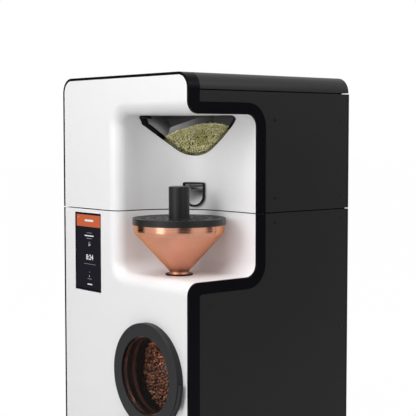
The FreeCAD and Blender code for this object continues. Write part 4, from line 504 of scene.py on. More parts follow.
@dataclass(frozen=True)
class Display:
    """Black display glass over a lit panel with a coloured header."""

    name: str
    low: Vector
    high: Vector
    header: Color = (0.552, 0.127, 0.054)
    body: Color = (0.0150, 0.0145, 0.0195)
    border: Color = (0.004, 0.004, 0.006)
    header_share: tuple[float, float] = (0.024, 0.177)
    left_share: float = 0.06
    right_share: float = 0.015
    foot_share: float = 0.03
    skin: float = 0.5 * MM
    smear: float = 25 * MM

    def build(self) -> bpy.types.Material:
        """Makes the material.

        Returns:
            The material.
        """
        graph = Graph.of(self.name)
        x, y, z = graph.axes()
        wide, high = self.high.x - self.low.x, self.high.z - self.low.z
        across = (x - self.low.x) / wide
        down = (self.high.z - z) / high
        inside = (across > self.left_share) * (across < 1.0 - self.right_share)
        front = y < self.low.y + self.skin
        head = inside * (down > self.header_share[0]) * (down < self.header_share[1]) * front
        page = inside * (down > self.header_share[1]) * (down < 1.0 - self.foot_share) * front
        color = graph.blend(head, graph.blend(page, self.border, self.body), self.header)
        smear = graph.noise(self.smear, 4.0)
        return graph.surface({
            "Base Color": graph.blend(head + page, self.border, BLACK), "Emission Color": color,
            "Emission Strength": 1.0, "Roughness": 0.12 + 0.1 * smear, "Specular IOR Level": 0.03})


@dataclass(frozen=True)
class Lit:
    """A light mark on the display."""

    name: str
    color: Color

    def build(self) -> bpy.types.Material:
        """Makes the material.

        Returns:
            The material.
        """
        graph = Graph.of(self.name)
        grain = graph.noise(0.5 * MM)
        glow = graph.blend(0.1 * grain, self.color, BLACK)
        return graph.surface({
            "Base Color": (*BLACK, 1.0), "Emission Color": glow, "Emission Strength": 1.0,
            "Roughness": 0.3, "Specular IOR Level": 0.1})


Finish = Satin | Brushed | Pane | LightPaintedSheet | BeanSkin | Display | Lit


def corners(node: str) -> tuple[Vector, Vector]:
    """Returns a node's lowest and highest corners."""
    low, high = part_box(node)
    return Vector(low), Vector(high)


def middle(node: str) -> Vector:
    """Returns the middle of a node's box."""
    low, high = corners(node)
    return (low + high) / 2


def deselect() -> None:
    """Leaves nothing selected and nothing active."""
    for item in bpy.context.selected_objects:
        item.select_set(False)
    bpy.context.view_layer.objects.active = None


def started(name: str) -> bpy.types.Object:
    """Names the object that an operator has just added.

    Args:
        name: The name of the object and of its data.

    Returns:
        The object.
    """
    piece = bpy.context.view_layer.objects.active
    piece.name = name
    piece.data.name = name
    return piece


def pick(piece: bpy.types.Object, wanted: Callable[[Vector], bool]) -> None:
    """Selects the corners of a mesh by their place.

    Args:
        piece: The piece, in edit mode.
        wanted: Tells whether a corner at a place is selected.
    """
    mesh = bmesh.from_edit_mesh(piece.data)
    for vertex in mesh.verts:
        vertex.select = wanted(vertex.co)
    mesh.select_flush(False)
    mesh.select_flush_mode()
    bmesh.update_edit_mesh(piece.data)


def pick_edges(piece: bpy.types.Object, wanted: Callable[[Vector], bool]) -> None:
    """Selects the edges of a mesh by their run.

    Args:
        piece: The piece, in edit mode.
        wanted: Tells whether an edge with a run from end to end is selected.
    """
    mesh = bmesh.from_edit_mesh(piece.data)
    for edge in mesh.edges:
        edge.select = wanted(edge.verts[0].co - edge.verts[1].co)
    bmesh.update_edit_mesh(piece.data)


def add_modifiers(piece: bpy.types.Object, wanted: tuple[tuple[str, dict[str, float]], ...]) -> None:
    """Adds modifiers to the active piece in turn, and applies each.

    Args:
        piece: The piece, active and in object mode.
        wanted: The type and the settings of each modifier.
    """
    for kind, values in wanted:
        modifier = piece.modifiers.new(kind.lower(), kind)
        for key, value in values.items():
            setattr(modifier, key, value)
        bpy.ops.object.modifier_apply(modifier=modifier.name)


def settle(piece: bpy.types.Object, finish: bpy.types.Material, body: str, slot: str) -> None:
    """Freezes a piece's place into its mesh, dresses it and lets it ride on a body.

    Args:
        piece: The finished piece.
        finish: Its material.
        body: The body that it moves with.
        slot: The material slot of the record that it belongs to; not used.
    """
    deselect()
    piece.select_set(True)
    bpy.context.view_layer.objects.active = piece
    bpy.ops.object.transform_apply(location=True, rotation=True, scale=True)
    piece.data.materials.clear()
    piece.data.materials.append(finish)
    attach(piece, body)
    LOG.info("%s rides on %s, %d faces", piece.name, body, len(piece.data.polygons))


def wear(node: str, material: bpy.types.Material) -> None:
    """Gives a CAD node one material.

    Args:
        node: The node's name.
        material: What it is made of.
    """
    slots = frame["nodes"][node].data.materials
    slots.clear()
    slots.append(material)


def dress(finishes: dict[Finish, tuple[str, ...]]) -> None:
    """Gives CAD nodes their finishes.

    Args:
        finishes: Each finish, and the nodes that wear it.
    """
    for finish, nodes in finishes.items():
        material = finish.build()
        for node in nodes:
            wear(node, material)
            LOG.info("%s wears %s", node, finish.name)


@dataclass
class Cabinet:
    """The shells, trims, panels, cap, frames, base, feet and what is bolted to them."""

    def finishes(self) -> dict[Finish, tuple[str, ...]]:
        """Chooses the finishes.

        Returns:
            Each finish, and the nodes that wear it.
        """
        drum = middle("drum")
        white = Satin("white moulding", (0.862, 0.853, 0.862), 0.36, grain=0.8 * MM, mottle=0.012, drift=0.06)
        trim = Satin("black trim", (0.0032, 0.0028, 0.0048), 0.32, specular=0.055, mottle=0.1, drift=0.05)
        panel = Satin("charcoal panel", (0.0105, 0.0094, 0.0107), 0.46, specular=0.24, grain=0.5 * MM,
                      depth=0.02 * MM, mottle=0.12)
        cap = Satin("charcoal cap", (0.0140, 0.0126, 0.0142), 0.44, specular=0.26, grain=0.5 * MM,
                    depth=0.02 * MM, mottle=0.12)
        screw = Satin("dark screw", (0.0035, 0.0035, 0.004), 0.26, specular=0.5)
        hinge = Brushed("hinge steel", (0.23, 0.23, 0.24), 0.34, Lay.ALONG_X)
        # Near-black frames: partly their own paint, partly painted shade so the seams between the shells show
        # dark.
        bar = Satin("frame paint", (0.0015, 0.0015, 0.0016), 0.60, specular=0.05)
        sheet = Brushed("galvanised sheet", (0.50, 0.51, 0.52), 0.40, Lay.ALONG_X, line=1.2 * MM, run=25 * MM)
        black = Satin("base paint", (0.012, 0.012, 0.012), 0.5)
        rubber = Satin("black rubber", (0.011, 0.011, 0.011), 0.72, specular=0.3, depth=0.03 * MM)
        cast = Satin("dark casting", (0.035, 0.034, 0.034), 0.55, metallic=0.6, grain=1.4 * MM,
                     depth=0.12 * MM)
        motor = Satin("motor paint", (0.02, 0.02, 0.023), 0.42)
        turned = Brushed("turned pulley", (0.62, 0.62, 0.64), 0.28, Lay.ROUND_Y, tuple(drum))
        plastic = Satin("black moulding", (0.010, 0.010, 0.010), 0.42, specular=0.35)
        drawer = Satin("drawer moulding", (0.018, 0.018, 0.0195), 0.42, specular=0.35)
        return {
            white: ("upper_front_shell", "lower_front_shell"),
            trim: ("upper_trim", "lower_trim"),
            panel: ("upper_right_panel", "lower_right_panel", "upper_left_panel", "lower_left_panel",
                    "upper_rear_panel", "lower_rear_panel"),
            cap: ("top_cap",),
            screw: ("panel_screws",),
            hinge: ("lid_hinge_fixed", "lid_hinge_moving", "lid_hinge_pin", "door_hinge_fixed",
                    "door_hinge_moving", "door_hinge_pin"),
            bar: ("lower_frame", "upper_frame"),
            sheet: ("drum_casing", "charge_chute", "heater_duct", "exhaust_filter", "blower_housing",
                    "bean_drawer"),
            black: ("base_pan",),
            rubber: ("feet", "door_gasket", "drive_belt"),
            cast: ("bearing_unit",),
            motor: ("drum_motor", "blower_motor", "feeder_motor"),
            turned: ("drum_pulley", "motor_pulley", "blower_wheel", "drum_shaft"),
            plastic: ("power_inlet", "power_switch", "screen_module"),
            drawer: ("drawer_front",),
        }


@dataclass
class Recess:
    """The copper funnel with its lid, the port above it and the hopper behind the window.

    The baffle's sizes are in the feed's frame: its ends, how far inward it stands, the heights of its
    foot and of its left and right tops, and how far its left end slants.
    """

    funnel_band: float = 38 * MM
    baffle_left: float = -117 * MM
    baffle_right: float = 38 * MM
    baffle_inward: float = 62 * MM
    baffle_foot: float = 205 * MM
    baffle_low: float = 245 * MM
    baffle_high: float = 292 * MM
    baffle_slant: float = 12 * MM
    baffle_sheet: float = 1.5 * MM
    baffle_cuts: int = 7

    def finishes(self) -> dict[Finish, tuple[str, ...]]:
        """Chooses the finishes.

        Returns:
            Each finish, and the nodes that wear it.
        """
        funnel = middle("funnel")
        copper = Brushed("brushed copper", (0.80, 0.395, 0.275), 0.24, Lay.ROUND_Z,
                         (funnel.x, funnel.y, 0.0), line=1.1 * MM, depth=0.02 * MM, lines=0.18,
                         stain=(0.60, 0.27, 0.175), anisotropy=0.5, turn=0.25, edge=(1.0, 0.78, 0.52),
                         matt_below=corners("funnel")[1].z - self.funnel_band, matt=0.20)
        lid = Satin("lid moulding", (0.0165, 0.0161, 0.0166), 0.36, specular=0.24, grain=0.7 * MM)
        chute = Satin("port moulding", (0.84, 0.84, 0.84), 0.55, specular=0.3)
        rim = Satin("port rim", (0.004, 0.004, 0.0045), 0.38, specular=0.12)
        hopper = Satin("hopper lining", (0.22, 0.215, 0.22), 0.50, specular=0.4, metallic=0.2)
        # The border is painted shade: black like the hopper's shaded inside, but thinner behind the beans and
        # at its upper right.
        border = Pane("smoked border", (0.002, 0.002, 0.002), 0.95, gloss=0.0, specular=0.1, share=0.45,
                      clear_from=(-122 * MM, 271 * MM))
        pane = Pane("hopper glass", (0.02, 0.02, 0.02), 0.02)
        wheel = Brushed("feeder steel", (0.5, 0.5, 0.5), 0.35, Lay.ALONG_X)
        return {
            copper: ("funnel",),
            lid: ("perforated_lid", "lid_knob"),
            chute: ("feed_chute",),
            rim: ("port_rim", "funnel_gasket"),
            hopper: ("green_hopper", "feeder_housing"),
            border: ("window_border",),
            pane: ("hopper_window",),
            wheel: ("feeder_wheel",),
        }

    def baffle(self) -> None:
        """Models the sheet that stands in the beans and guides them down to the feeder."""
        left, right, foot, low = self.baffle_left, self.baffle_right, self.baffle_foot, self.baffle_low
        sheet = self.baffle_sheet
        deselect()
        bpy.ops.mesh.primitive_plane_add(size=1.0, rotation=(math.pi / 2, 0.0, 0.0))
        piece = started("hopper_baffle")
        bpy.ops.object.transform_apply(location=False, rotation=True, scale=False)
        bpy.ops.object.mode_set(mode="EDIT")
        bpy.ops.transform.resize(value=(right - left, 1.0, low - foot), center_override=(0.0, 0.0, 0.0))
        bpy.ops.transform.translate(value=((left + right) / 2, self.baffle_inward, (low + foot) / 2))
        pick(piece, lambda spot: spot.x > 0.0 and spot.z > foot + sheet)
        bpy.ops.transform.translate(value=(0.0, 0.0, self.baffle_high - low))
        pick(piece, lambda spot: spot.x < 0.0 and spot.z > foot + sheet)
        bpy.ops.transform.translate(value=(self.baffle_slant, 0.0, 0.0))
        bpy.ops.mesh.select_all(action="SELECT")
        bpy.ops.mesh.subdivide(number_cuts=self.baffle_cuts)
        bpy.ops.object.mode_set(mode="OBJECT")
        add_modifiers(piece, (("SOLIDIFY", {"thickness": sheet}),
                              ("BEVEL", {"width": sheet / 4, "segments": 2})))
        piece.matrix_world = Matrix.Translation(Feed.ORIGIN) @ Feed.TURN.to_4x4()
        # The baffle's painted light: pale at its left end, painted shade at its right.
        light_painted = LightPaintedSheet("dusty baffle", (0.020, 0.020, 0.022), (0.36, 0.36, 0.38), 0.5, left, right)
        settle(piece, light_painted.build(), "root", "hopper_sheet")


@dataclass
class Drum:
    """The glazed door and the browned metal behind it.

    The plain band is the band of the drum's head, from front to back, that keeps its own colour; the rest of
    the head is much darker.
    """

    plain_band: tuple[float, float] = (-282 * MM, -266 * MM)
    ring_radius: float = 111.6 * MM
    ring_deep: float = 9.0 * MM
    ring_wall: float = 2.2 * MM
    ring_groove: float = 0.15
    ring_gap: float = 0.3 * MM
    ring_facets: int = 128

    def finishes(self) -> dict[Finish, tuple[str, ...]]:
        """Chooses the finishes.

        Returns:
            Each finish, and the nodes that wear it.
        """
        axis = tuple(middle("drum"))
        ring = Satin("door ring paint", (0.0195, 0.0195, 0.0212), 0.42, specular=0.22)
        glass = Pane("door glass", (0.02, 0.015, 0.012), 0.02)
        head = Brushed("browned casting", (0.42, 0.21, 0.17), 0.30, Lay.ROUND_Y, axis, line=0.8 * MM,
                       # The head is much darker outside the plain band.
                       stain=(0.20, 0.095, 0.07), dark_off_band=(0.03, 0.022, 0.02), plain_band=self.plain_band)
        barrel = Brushed("browned drum", (0.26, 0.14, 0.10), 0.40, Lay.ROUND_Y, axis, line=0.8 * MM,
                         stain=(0.10, 0.05, 0.035))
        return {
            ring: ("door_ring",),
            glass: ("door_glass",),
            head: ("drum_head",),
            barrel: ("drum",),
        }

    def retainer(self) -> None:
        """Models the ring that holds the glass in the door, with a groove round its bore."""
        axis, glass = middle("drum"), corners("door_glass")[1].y
        radius, deep, wall = self.ring_radius, self.ring_deep, self.ring_wall
        deselect()
        bpy.ops.mesh.primitive_cylinder_add(
            vertices=self.ring_facets, radius=radius, depth=deep, end_fill_type="NOTHING",
            rotation=(math.pi / 2, 0.0, 0.0), location=(axis.x, glass + self.ring_gap + deep / 2, axis.z))
        piece = started("glass_retainer")
        bpy.ops.object.mode_set(mode="EDIT")
        pick_edges(piece, lambda run: abs(run.z) > deep / 2)
        bpy.ops.mesh.subdivide_edgering(number_cuts=4, smoothness=0.0)
        pick(piece, lambda spot: abs(spot.z) < deep * self.ring_groove)
        grow = radius / (radius - wall / 3)
        bpy.ops.transform.resize(value=(grow, 1.0, grow), center_override=tuple(piece.location))
        bpy.ops.object.mode_set(mode="OBJECT")
        add_modifiers(piece, (("SOLIDIFY", {"thickness": wall, "offset": -1.0}),
                              ("BEVEL", {"width": wall / 6, "segments": 2})))
        steel = Brushed("browned ring", (0.46, 0.24, 0.19), 0.28, Lay.ROUND_Y, tuple(axis), line=0.6 * MM,
                        stain=(0.24, 0.12, 0.09))
        settle(piece, steel.build(), "door", "steel")


@dataclass
class BeanHeap:
    """A heap of beans: a shrunken core and a skin of single beans on the visible sides.

    A bean's breadth and height, and what the core shrinks by, are shares of its length. Its belly, its
    crease and the crease's half sizes are given on a ball one across, and flat is what is left of the
    belly's height.
    """

    TINT = "tint"
    SHADED_CORE = -1.0

    node: str
    body: str
    slot: str
    skin: BeanSkin
    length: float
    spacing: float
    toward: tuple[tuple[float, float, float], ...]
    sink: float = 3.2 * MM
    seed: int = 11
    most: int = 1700
    draws: int = 14
    facing: float = 0.25
    breadth: float = 0.70
    height: float = 0.62
    belly: float = -0.1
    flat: float = 0.35
    crease_half: tuple[float, float] = (0.45, 0.02)
    crease_below: float = -0.05
    crease: float = 0.17
    shrink: float = 0.45
    tilts: tuple[float, float] = (0.55, 0.45)
    upturned: float = 0.4
    sizes: tuple[float, float] = (0.88, 1.1)

    def bean(self) -> bpy.types.Object:
        """Models one bean: round on top, flat with a crease below.

        Returns:
            The bean, its middle at the origin.
        """
        deselect()
        bpy.ops.mesh.primitive_uv_sphere_add(segments=8, ring_count=6, radius=0.5)
        piece = started("bean")
        bpy.ops.object.mode_set(mode="EDIT")
        pick(piece, lambda spot: spot.z < self.belly)
        bpy.ops.transform.resize(value=(1.0, 1.0, self.flat), center_override=(0.0, 0.0, 0.0))
        long, wide = self.crease_half
        pick(piece, lambda spot: spot.z < self.crease_below and abs(spot.y) < wide and abs(spot.x) < long)
        bpy.ops.transform.translate(value=(0.0, 0.0, self.crease))
        bpy.ops.mesh.select_all(action="SELECT")
        bpy.ops.transform.resize(
            value=(self.length, self.length * self.breadth, self.length * self.height),
            center_override=(0.0, 0.0, 0.0))
        bpy.ops.object.mode_set(mode="OBJECT")
        return piece

    def chances(self, mesh: bpy.types.Mesh, wanted: Callable[[Vector], bool],
                rng: random.Random) -> Iterator[Seat]:
        """Draws places on some faces of a mesh.

        Args:
            mesh: The mesh.
            wanted: Tells whether faces with a normal are used.
            rng: The source of chance.

        Returns:
            Each place and its normal.
        """
        mesh.calc_loop_triangles()
        faces = [triangle for triangle in mesh.loop_triangles if wanted(triangle.normal)]
        for triangle in rng.choices(faces, [face.area for face in faces], k=self.most * self.draws):
            a, b, c = (mesh.vertices[index].co for index in triangle.vertices)
            first, second = math.sqrt(rng.random()), rng.random()
            yield (a * (1 - first) + b * (first * (1 - second)) + c * (first * second),
                   triangle.normal.copy())

    def apart(self, chances: Iterator[Seat]) -> list[Seat]:
        """Keeps the places that lie far enough from those before them.

        Args:
            chances: The places, with their normals.

        Returns:
            Those kept, up to the most that a heap has.
        """
        found: list[Seat] = []
        cells: dict[tuple[int, int, int], list[Vector]] = {}
        for spot, normal in chances:
            key = tuple(int(part // self.spacing) for part in spot)
            near = [old for i in (-1, 0, 1) for j in (-1, 0, 1) for k in (-1, 0, 1)
                    for old in cells.get((key[0] + i, key[1] + j, key[2] + k), ())]
            if any((old - spot).length < self.spacing for old in near):
                continue
            cells.setdefault(key, []).append(spot)
            found.append((spot, normal))
            if len(found) == self.most:
                break
        return found

    def spots(self, core: bpy.types.Mesh, rng: random.Random) -> list[Seat]:
        """Spreads places over the sides of the heap that can be seen.

        Args:
            core: The heap's mesh.
            rng: The source of chance, with a fixed seed.

        Returns:
            The middle and the outward direction of each bean.
        """
        sides = [Vector(way).normalized() for way in self.toward]
        chances = self.chances(
            core, lambda normal: max(normal.dot(side) for side in sides) > self.facing, rng)
        return [(spot - normal * self.sink, normal) for spot, normal in self.apart(chances)]

    def tint(self, spot: Vector, rng: random.Random) -> float:
        """Returns how light a bean is, from zero to one."""
        return rng.random()

    def build(self) -> None:
        """Models the heap, and lets it stand for the node."""
        rng = random.Random(self.seed)
        core = self.core()
        spots = self.spots(core.data, rng)
        self.lower(core)
        shrink = core.modifiers.new("shrink", "DISPLACE")
        shrink.mid_level = 0.0
        shrink.strength = -self.length * self.shrink
        bpy.ops.object.modifier_apply(modifier=shrink.name)
        self.cover(core, spots, rng)
        settle(core, self.skin.build(), self.body, self.slot)
        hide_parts(self.node)

    def core(self) -> bpy.types.Object:
        """Copies the node as a closed mesh.

        Returns:
            The copy, active and in object mode.
        """
        source = frame["nodes"][self.node]
        deselect()
        core = source.copy()
        core.data = source.data.copy()
        core.parent = None
        core.name = self.node + "_heap"
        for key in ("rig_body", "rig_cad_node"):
            if key in core:
                del core[key]
        bpy.context.scene.collection.objects.link(core)
        core.select_set(True)
        bpy.context.view_layer.objects.active = core
        bpy.ops.object.mode_set(mode="EDIT")
        bpy.ops.mesh.select_all(action="SELECT")
        bpy.ops.mesh.remove_doubles(threshold=0.01 * MM)
        bpy.ops.object.mode_set(mode="OBJECT")
        return core

    def cover(self, core: bpy.types.Object, spots: list[Seat], rng: random.Random) -> None:
        """Lays the single beans on the core.

        Args:
            core: The heap's core.
            spots: The middle and the outward direction of each bean.
            rng: The source of chance.
        """
        bean = self.bean()
        heap = bmesh.new()
        heap.from_mesh(core.data)
        shade = heap.faces.layers.float.new(self.TINT)
        # The core's faces are marked for the painted shade in the gaps between beans.
        for face in heap.faces:
            face[shade] = self.SHADED_CORE
        for spot, normal in spots:
            self.lay(heap, bean.data, spot, normal, rng, shade)
        bpy.data.objects.remove(bean)
        heap.to_mesh(core.data)
        heap.free()
        core.data.shade_smooth()

    def lower(self, core: bpy.types.Object) -> None:
        """Leaves the core as it is."""

    def lay(self, heap: bmesh.types.BMesh, bean: bpy.types.Mesh, spot: Vector, normal: Vector,
            rng: random.Random, shade: bmesh.types.BMLayerItem) -> None:
        """Adds one bean to the heap, turned by chance.

        Args:
            heap: The heap so far.
            bean: The mesh of one bean.
            spot: Its place.
            normal: The way that its top faces before it is turned.
            rng: The source of chance.
            shade: The layer that holds how light each face is.
        """
        turn = normal.to_track_quat("Z", "X").to_matrix().to_4x4()
        lean, roll = (rng.gauss(0, spread) for spread in self.tilts)
        tilt = Euler((lean, roll, rng.uniform(0, math.tau))).to_matrix().to_4x4()
        over = math.pi if rng.random() < self.upturned else 0.0
        flip = Euler((over, 0.0, 0.0)).to_matrix().to_4x4()
        count = len(heap.verts)
        faces = len(heap.faces)
        heap.from_mesh(bean)
        heap.verts.ensure_lookup_table()
        heap.faces.ensure_lookup_table()
        size = rng.uniform(*self.sizes)
        for vertex in heap.verts[count:]:
            vertex.co = spot + (turn @ tilt @ flip @ vertex.co) * size
        tint = self.tint(spot, rng)
        for face in heap.faces[faces:]:
            face[shade] = tint


@dataclass
class WindowHeap(BeanHeap):
    """The green beans: they lie against the glass, up to its line, and level behind it.

    The layers lie at depths behind the glass's front. The shade patch is painted shade: darker beans where
    they sink toward the feeder.
    """

    glass: tuple[str, ...] = ("hopper_window", "window_border")
    layers: tuple[float, ...] = (8.2 * MM, 13.0 * MM)
    reach: float = 66 * MM
    settled: float = 9 * MM
    ends: tuple[float, float] = (-135 * MM, 150 * MM)
    ahead: float = -300 * MM
    shade_patch: tuple[float, float] = (16 * MM, 214 * MM)
    shade_patch_size: float = 24 * MM
    shade_patch_tint: float = 0.12
    least_tint: float = 0.15
    draws_above: int = 8
    glass_facing: float = 0.35
    lowered: float = 0.80

    def spots(self, core: bpy.types.Mesh, rng: random.Random) -> list[Seat]:
        """Spreads places behind the glass and over the top of the beans.

        Args:
            core: The heap's mesh, which isn't used.
            rng: The source of chance, with a fixed seed.

        Returns:
            The middle and the outward direction of each bean.
        """
        found = []
        for depth in self.layers:
            chances = (chance for name in self.glass
                       for chance in self.behind(frame["nodes"][name].data, depth, rng))
            found += self.apart(chances)
        return found + self.apart(self.above(rng))

    def behind(self, mesh: bpy.types.Mesh, depth: float, rng: random.Random) -> Iterator[Seat]:
        """Draws places behind the front of the glass, below the line of the beans.

        Args:
            mesh: A piece of the glass.
            depth: How far behind its front they lie.
            rng: The source of chance.

        Returns:
            Each place and its outward direction.
        """
        out = Feed.TURN @ Vector((0.0, -1.0, 0.0))
        for spot, normal in self.chances(mesh, lambda way: way.dot(out) > self.glass_facing, rng):
            inside = Feed.into(spot)
            if inside.z < Crown.at(inside.x):
                yield spot - normal * depth, normal

    def above(self, rng: random.Random) -> Iterator[Seat]:
        """Draws places over the top of the beans, from the glass inward.

        Args:
            rng: The source of chance.

        Returns:
            Each place, and the way up.
        """
        trees = [BVHTree.FromPolygons([corner.co for corner in mesh.vertices],
                                      [face.vertices for face in mesh.polygons])
                 for mesh in (frame["nodes"][name].data for name in self.glass)]
        inward = Feed.TURN @ Vector((0.0, 1.0, 0.0))
        for _ in range(self.most * self.draws_above):
            across, share = rng.uniform(*self.ends), rng.random()
            rise = Crown.at(across) - self.settled * share
            start = Feed.out(across, self.ahead, rise)
            hits = [hit for hit in (tree.ray_cast(start, inward)[0] for tree in trees) if hit]
            if hits:
                near = min(Feed.into(hit).y for hit in hits) + self.layers[0]
                yield Feed.out(across, near + (self.reach - near) * share, rise), Vector((0.0, 0.0, 1.0))

    def tint(self, spot: Vector, rng: random.Random) -> float:
        """Draws how light a bean is: those in the shade patch, where they sink toward the feeder, are darker,
        as painted shade.

        Args:
            spot: Where the bean lies.
            rng: The source of chance.

        Returns:
            How light it is, from zero to one.
        """
        inside = Feed.into(spot)
        off = math.hypot(inside.x - self.shade_patch[0], inside.z - self.shade_patch[1]) / self.shade_patch_size
        share = rng.random()
        # Painted shade where the beans sink toward the feeder.
        if off < 1.0:
            return self.shade_patch_tint * share
        return self.least_tint + (1.0 - self.least_tint) * share

    def lower(self, core: bpy.types.Object) -> None:
        """Lowers the core below the single beans.

        Args:
            core: The heap's core, active and in object mode.
        """
        foot = min(corner.co.z for corner in core.data.vertices)
        bpy.ops.object.mode_set(mode="EDIT")
        bpy.ops.mesh.select_all(action="SELECT")
        bpy.ops.transform.resize(value=(1.0, 1.0, self.lowered), center_override=(0.0, 0.0, foot))
        bpy.ops.object.mode_set(mode="OBJECT")


class Stroke(Enum):
    """How a mark on the display is drawn."""

    BAR = "bar"
    DIGITS = "digits"


@dataclass(frozen=True)
class Mark:
    """A mark on the display, with its middle and size as shares of the glass."""

    name: str
    across: float
    down: float
    wide: float
    tall: float
    stroke: Stroke
    bright: bool
    words: str = ""


@dataclass
class Screen:
    """The touch screen: black glass, a coloured header and light marks with plain numbers."""

    lift: float = 0.06 * MM
    thick: float = 0.08 * MM
    rounding: float = 0.49
    numeral: float = 0.72
    bolder: float = 0.02
    marks: tuple[Mark, ...] = (
        Mark("back", 0.13, 0.060, 0.020, 0.010, Stroke.BAR, True),
        Mark("title", 0.55, 0.097, 0.34, 0.026, Stroke.BAR, True),
        Mark("note_1", 0.56, 0.255, 0.20, 0.008, Stroke.BAR, False),
        Mark("name", 0.55, 0.292, 0.36, 0.014, Stroke.BAR, True),
        Mark("note_2", 0.55, 0.326, 0.20, 0.010, Stroke.BAR, False),
        Mark("note_3", 0.56, 0.375, 0.09, 0.008, Stroke.BAR, False),
        Mark("weight", 0.56, 0.408, 0.12, 0.030, Stroke.DIGITS, True, "24"),
        Mark("timer", 0.57, 0.570, 0.34, 0.068, Stroke.DIGITS, True, "8:24"),
        Mark("rule", 0.57, 0.655, 0.46, 0.006, Stroke.BAR, False),
        Mark("tick", 0.565, 0.757, 0.05, 0.006, Stroke.BAR, False),
        Mark("step", 0.555, 0.812, 0.10, 0.022, Stroke.DIGITS, True, "2"),
        Mark("note_4", 0.565, 0.845, 0.17, 0.008, Stroke.BAR, False),
        Mark("footer", 0.57, 0.915, 0.19, 0.014, Stroke.BAR, True),
    )

    def build(self) -> None:
        """Dresses the glass and models its marks."""
        wear("screen_glass", Display("display glass", *corners("screen_glass")).build())
        bright = Lit("bright mark", (0.82, 0.82, 0.84)).build()
        faint = Lit("faint mark", (0.22, 0.22, 0.26)).build()
        for mark in self.marks:
            piece = self.digits(mark) if mark.stroke is Stroke.DIGITS else self.bar(mark)
            settle(piece, bright if mark.bright else faint, "root", "screen_glass")

    def centre(self, mark: Mark) -> Vector:
        """Returns the middle of a mark, just in front of the glass."""
        low, high = corners("screen_glass")
        return Vector((low.x + mark.across * (high.x - low.x), low.y - self.lift,
                       high.z - mark.down * (high.z - low.z)))

    def size(self, mark: Mark) -> tuple[float, float]:
        """Returns the width and height of a mark in metres."""
        low, high = corners("screen_glass")
        return mark.wide * (high.x - low.x), mark.tall * (high.z - low.z)

    def bar(self, mark: Mark) -> bpy.types.Object:
        """Models a bar with round ends.

        Args:
            mark: What is drawn.

        Returns:
            The bar.
        """
        deselect()
        wide, tall = self.size(mark)
        bpy.ops.mesh.primitive_cube_add(size=1.0, location=self.centre(mark))
        piece = started("display_" + mark.name)
        bpy.ops.object.mode_set(mode="EDIT")
        bpy.ops.transform.resize(value=(wide, self.thick, tall))
        pick_edges(piece, lambda run: abs(run.normalized().y) > 0.9)
        bpy.ops.mesh.bevel(offset=tall * self.rounding, segments=4)
        bpy.ops.object.mode_set(mode="OBJECT")
        return piece

    def digits(self, mark: Mark) -> bpy.types.Object:
        """Models plain numbers as a thin solid.

        Args:
            mark: What is drawn, with its words.

        Returns:
            The numbers, as a mesh.
        """
        deselect()
        _, tall = self.size(mark)
        bpy.ops.object.text_add(location=self.centre(mark), rotation=(math.pi / 2, 0.0, 0.0))
        piece = started("display_" + mark.name)
        piece.data.body = mark.words
        piece.data.align_x = "CENTER"
        piece.data.align_y = "CENTER"
        piece.data.size = tall / self.numeral
        piece.data.extrude = self.thick / 2
        piece.data.offset = tall * self.bolder
        bpy.ops.object.convert(target="MESH")
        return started("display_" + mark.name)


@dataclass(frozen=True)
class Flag:
    """A dark card around the roaster: its azimuth and half width in degrees, and how bright it is."""

    name: str
    azimuth: float
    half: float
    level: float


@dataclass(frozen=True)
class Lamp:
    """A soft lamp: where it hangs and points, its width and height in metres, and its watts.

    It may leave matt surfaces alone, or not show in gloss.
    """

    name: str
    spot: Spot
    aim: Spot
    size: tuple[float, float]
    power: float
    color: Color = WHITE
    on_surfaces: bool = True
    in_gloss: bool = True


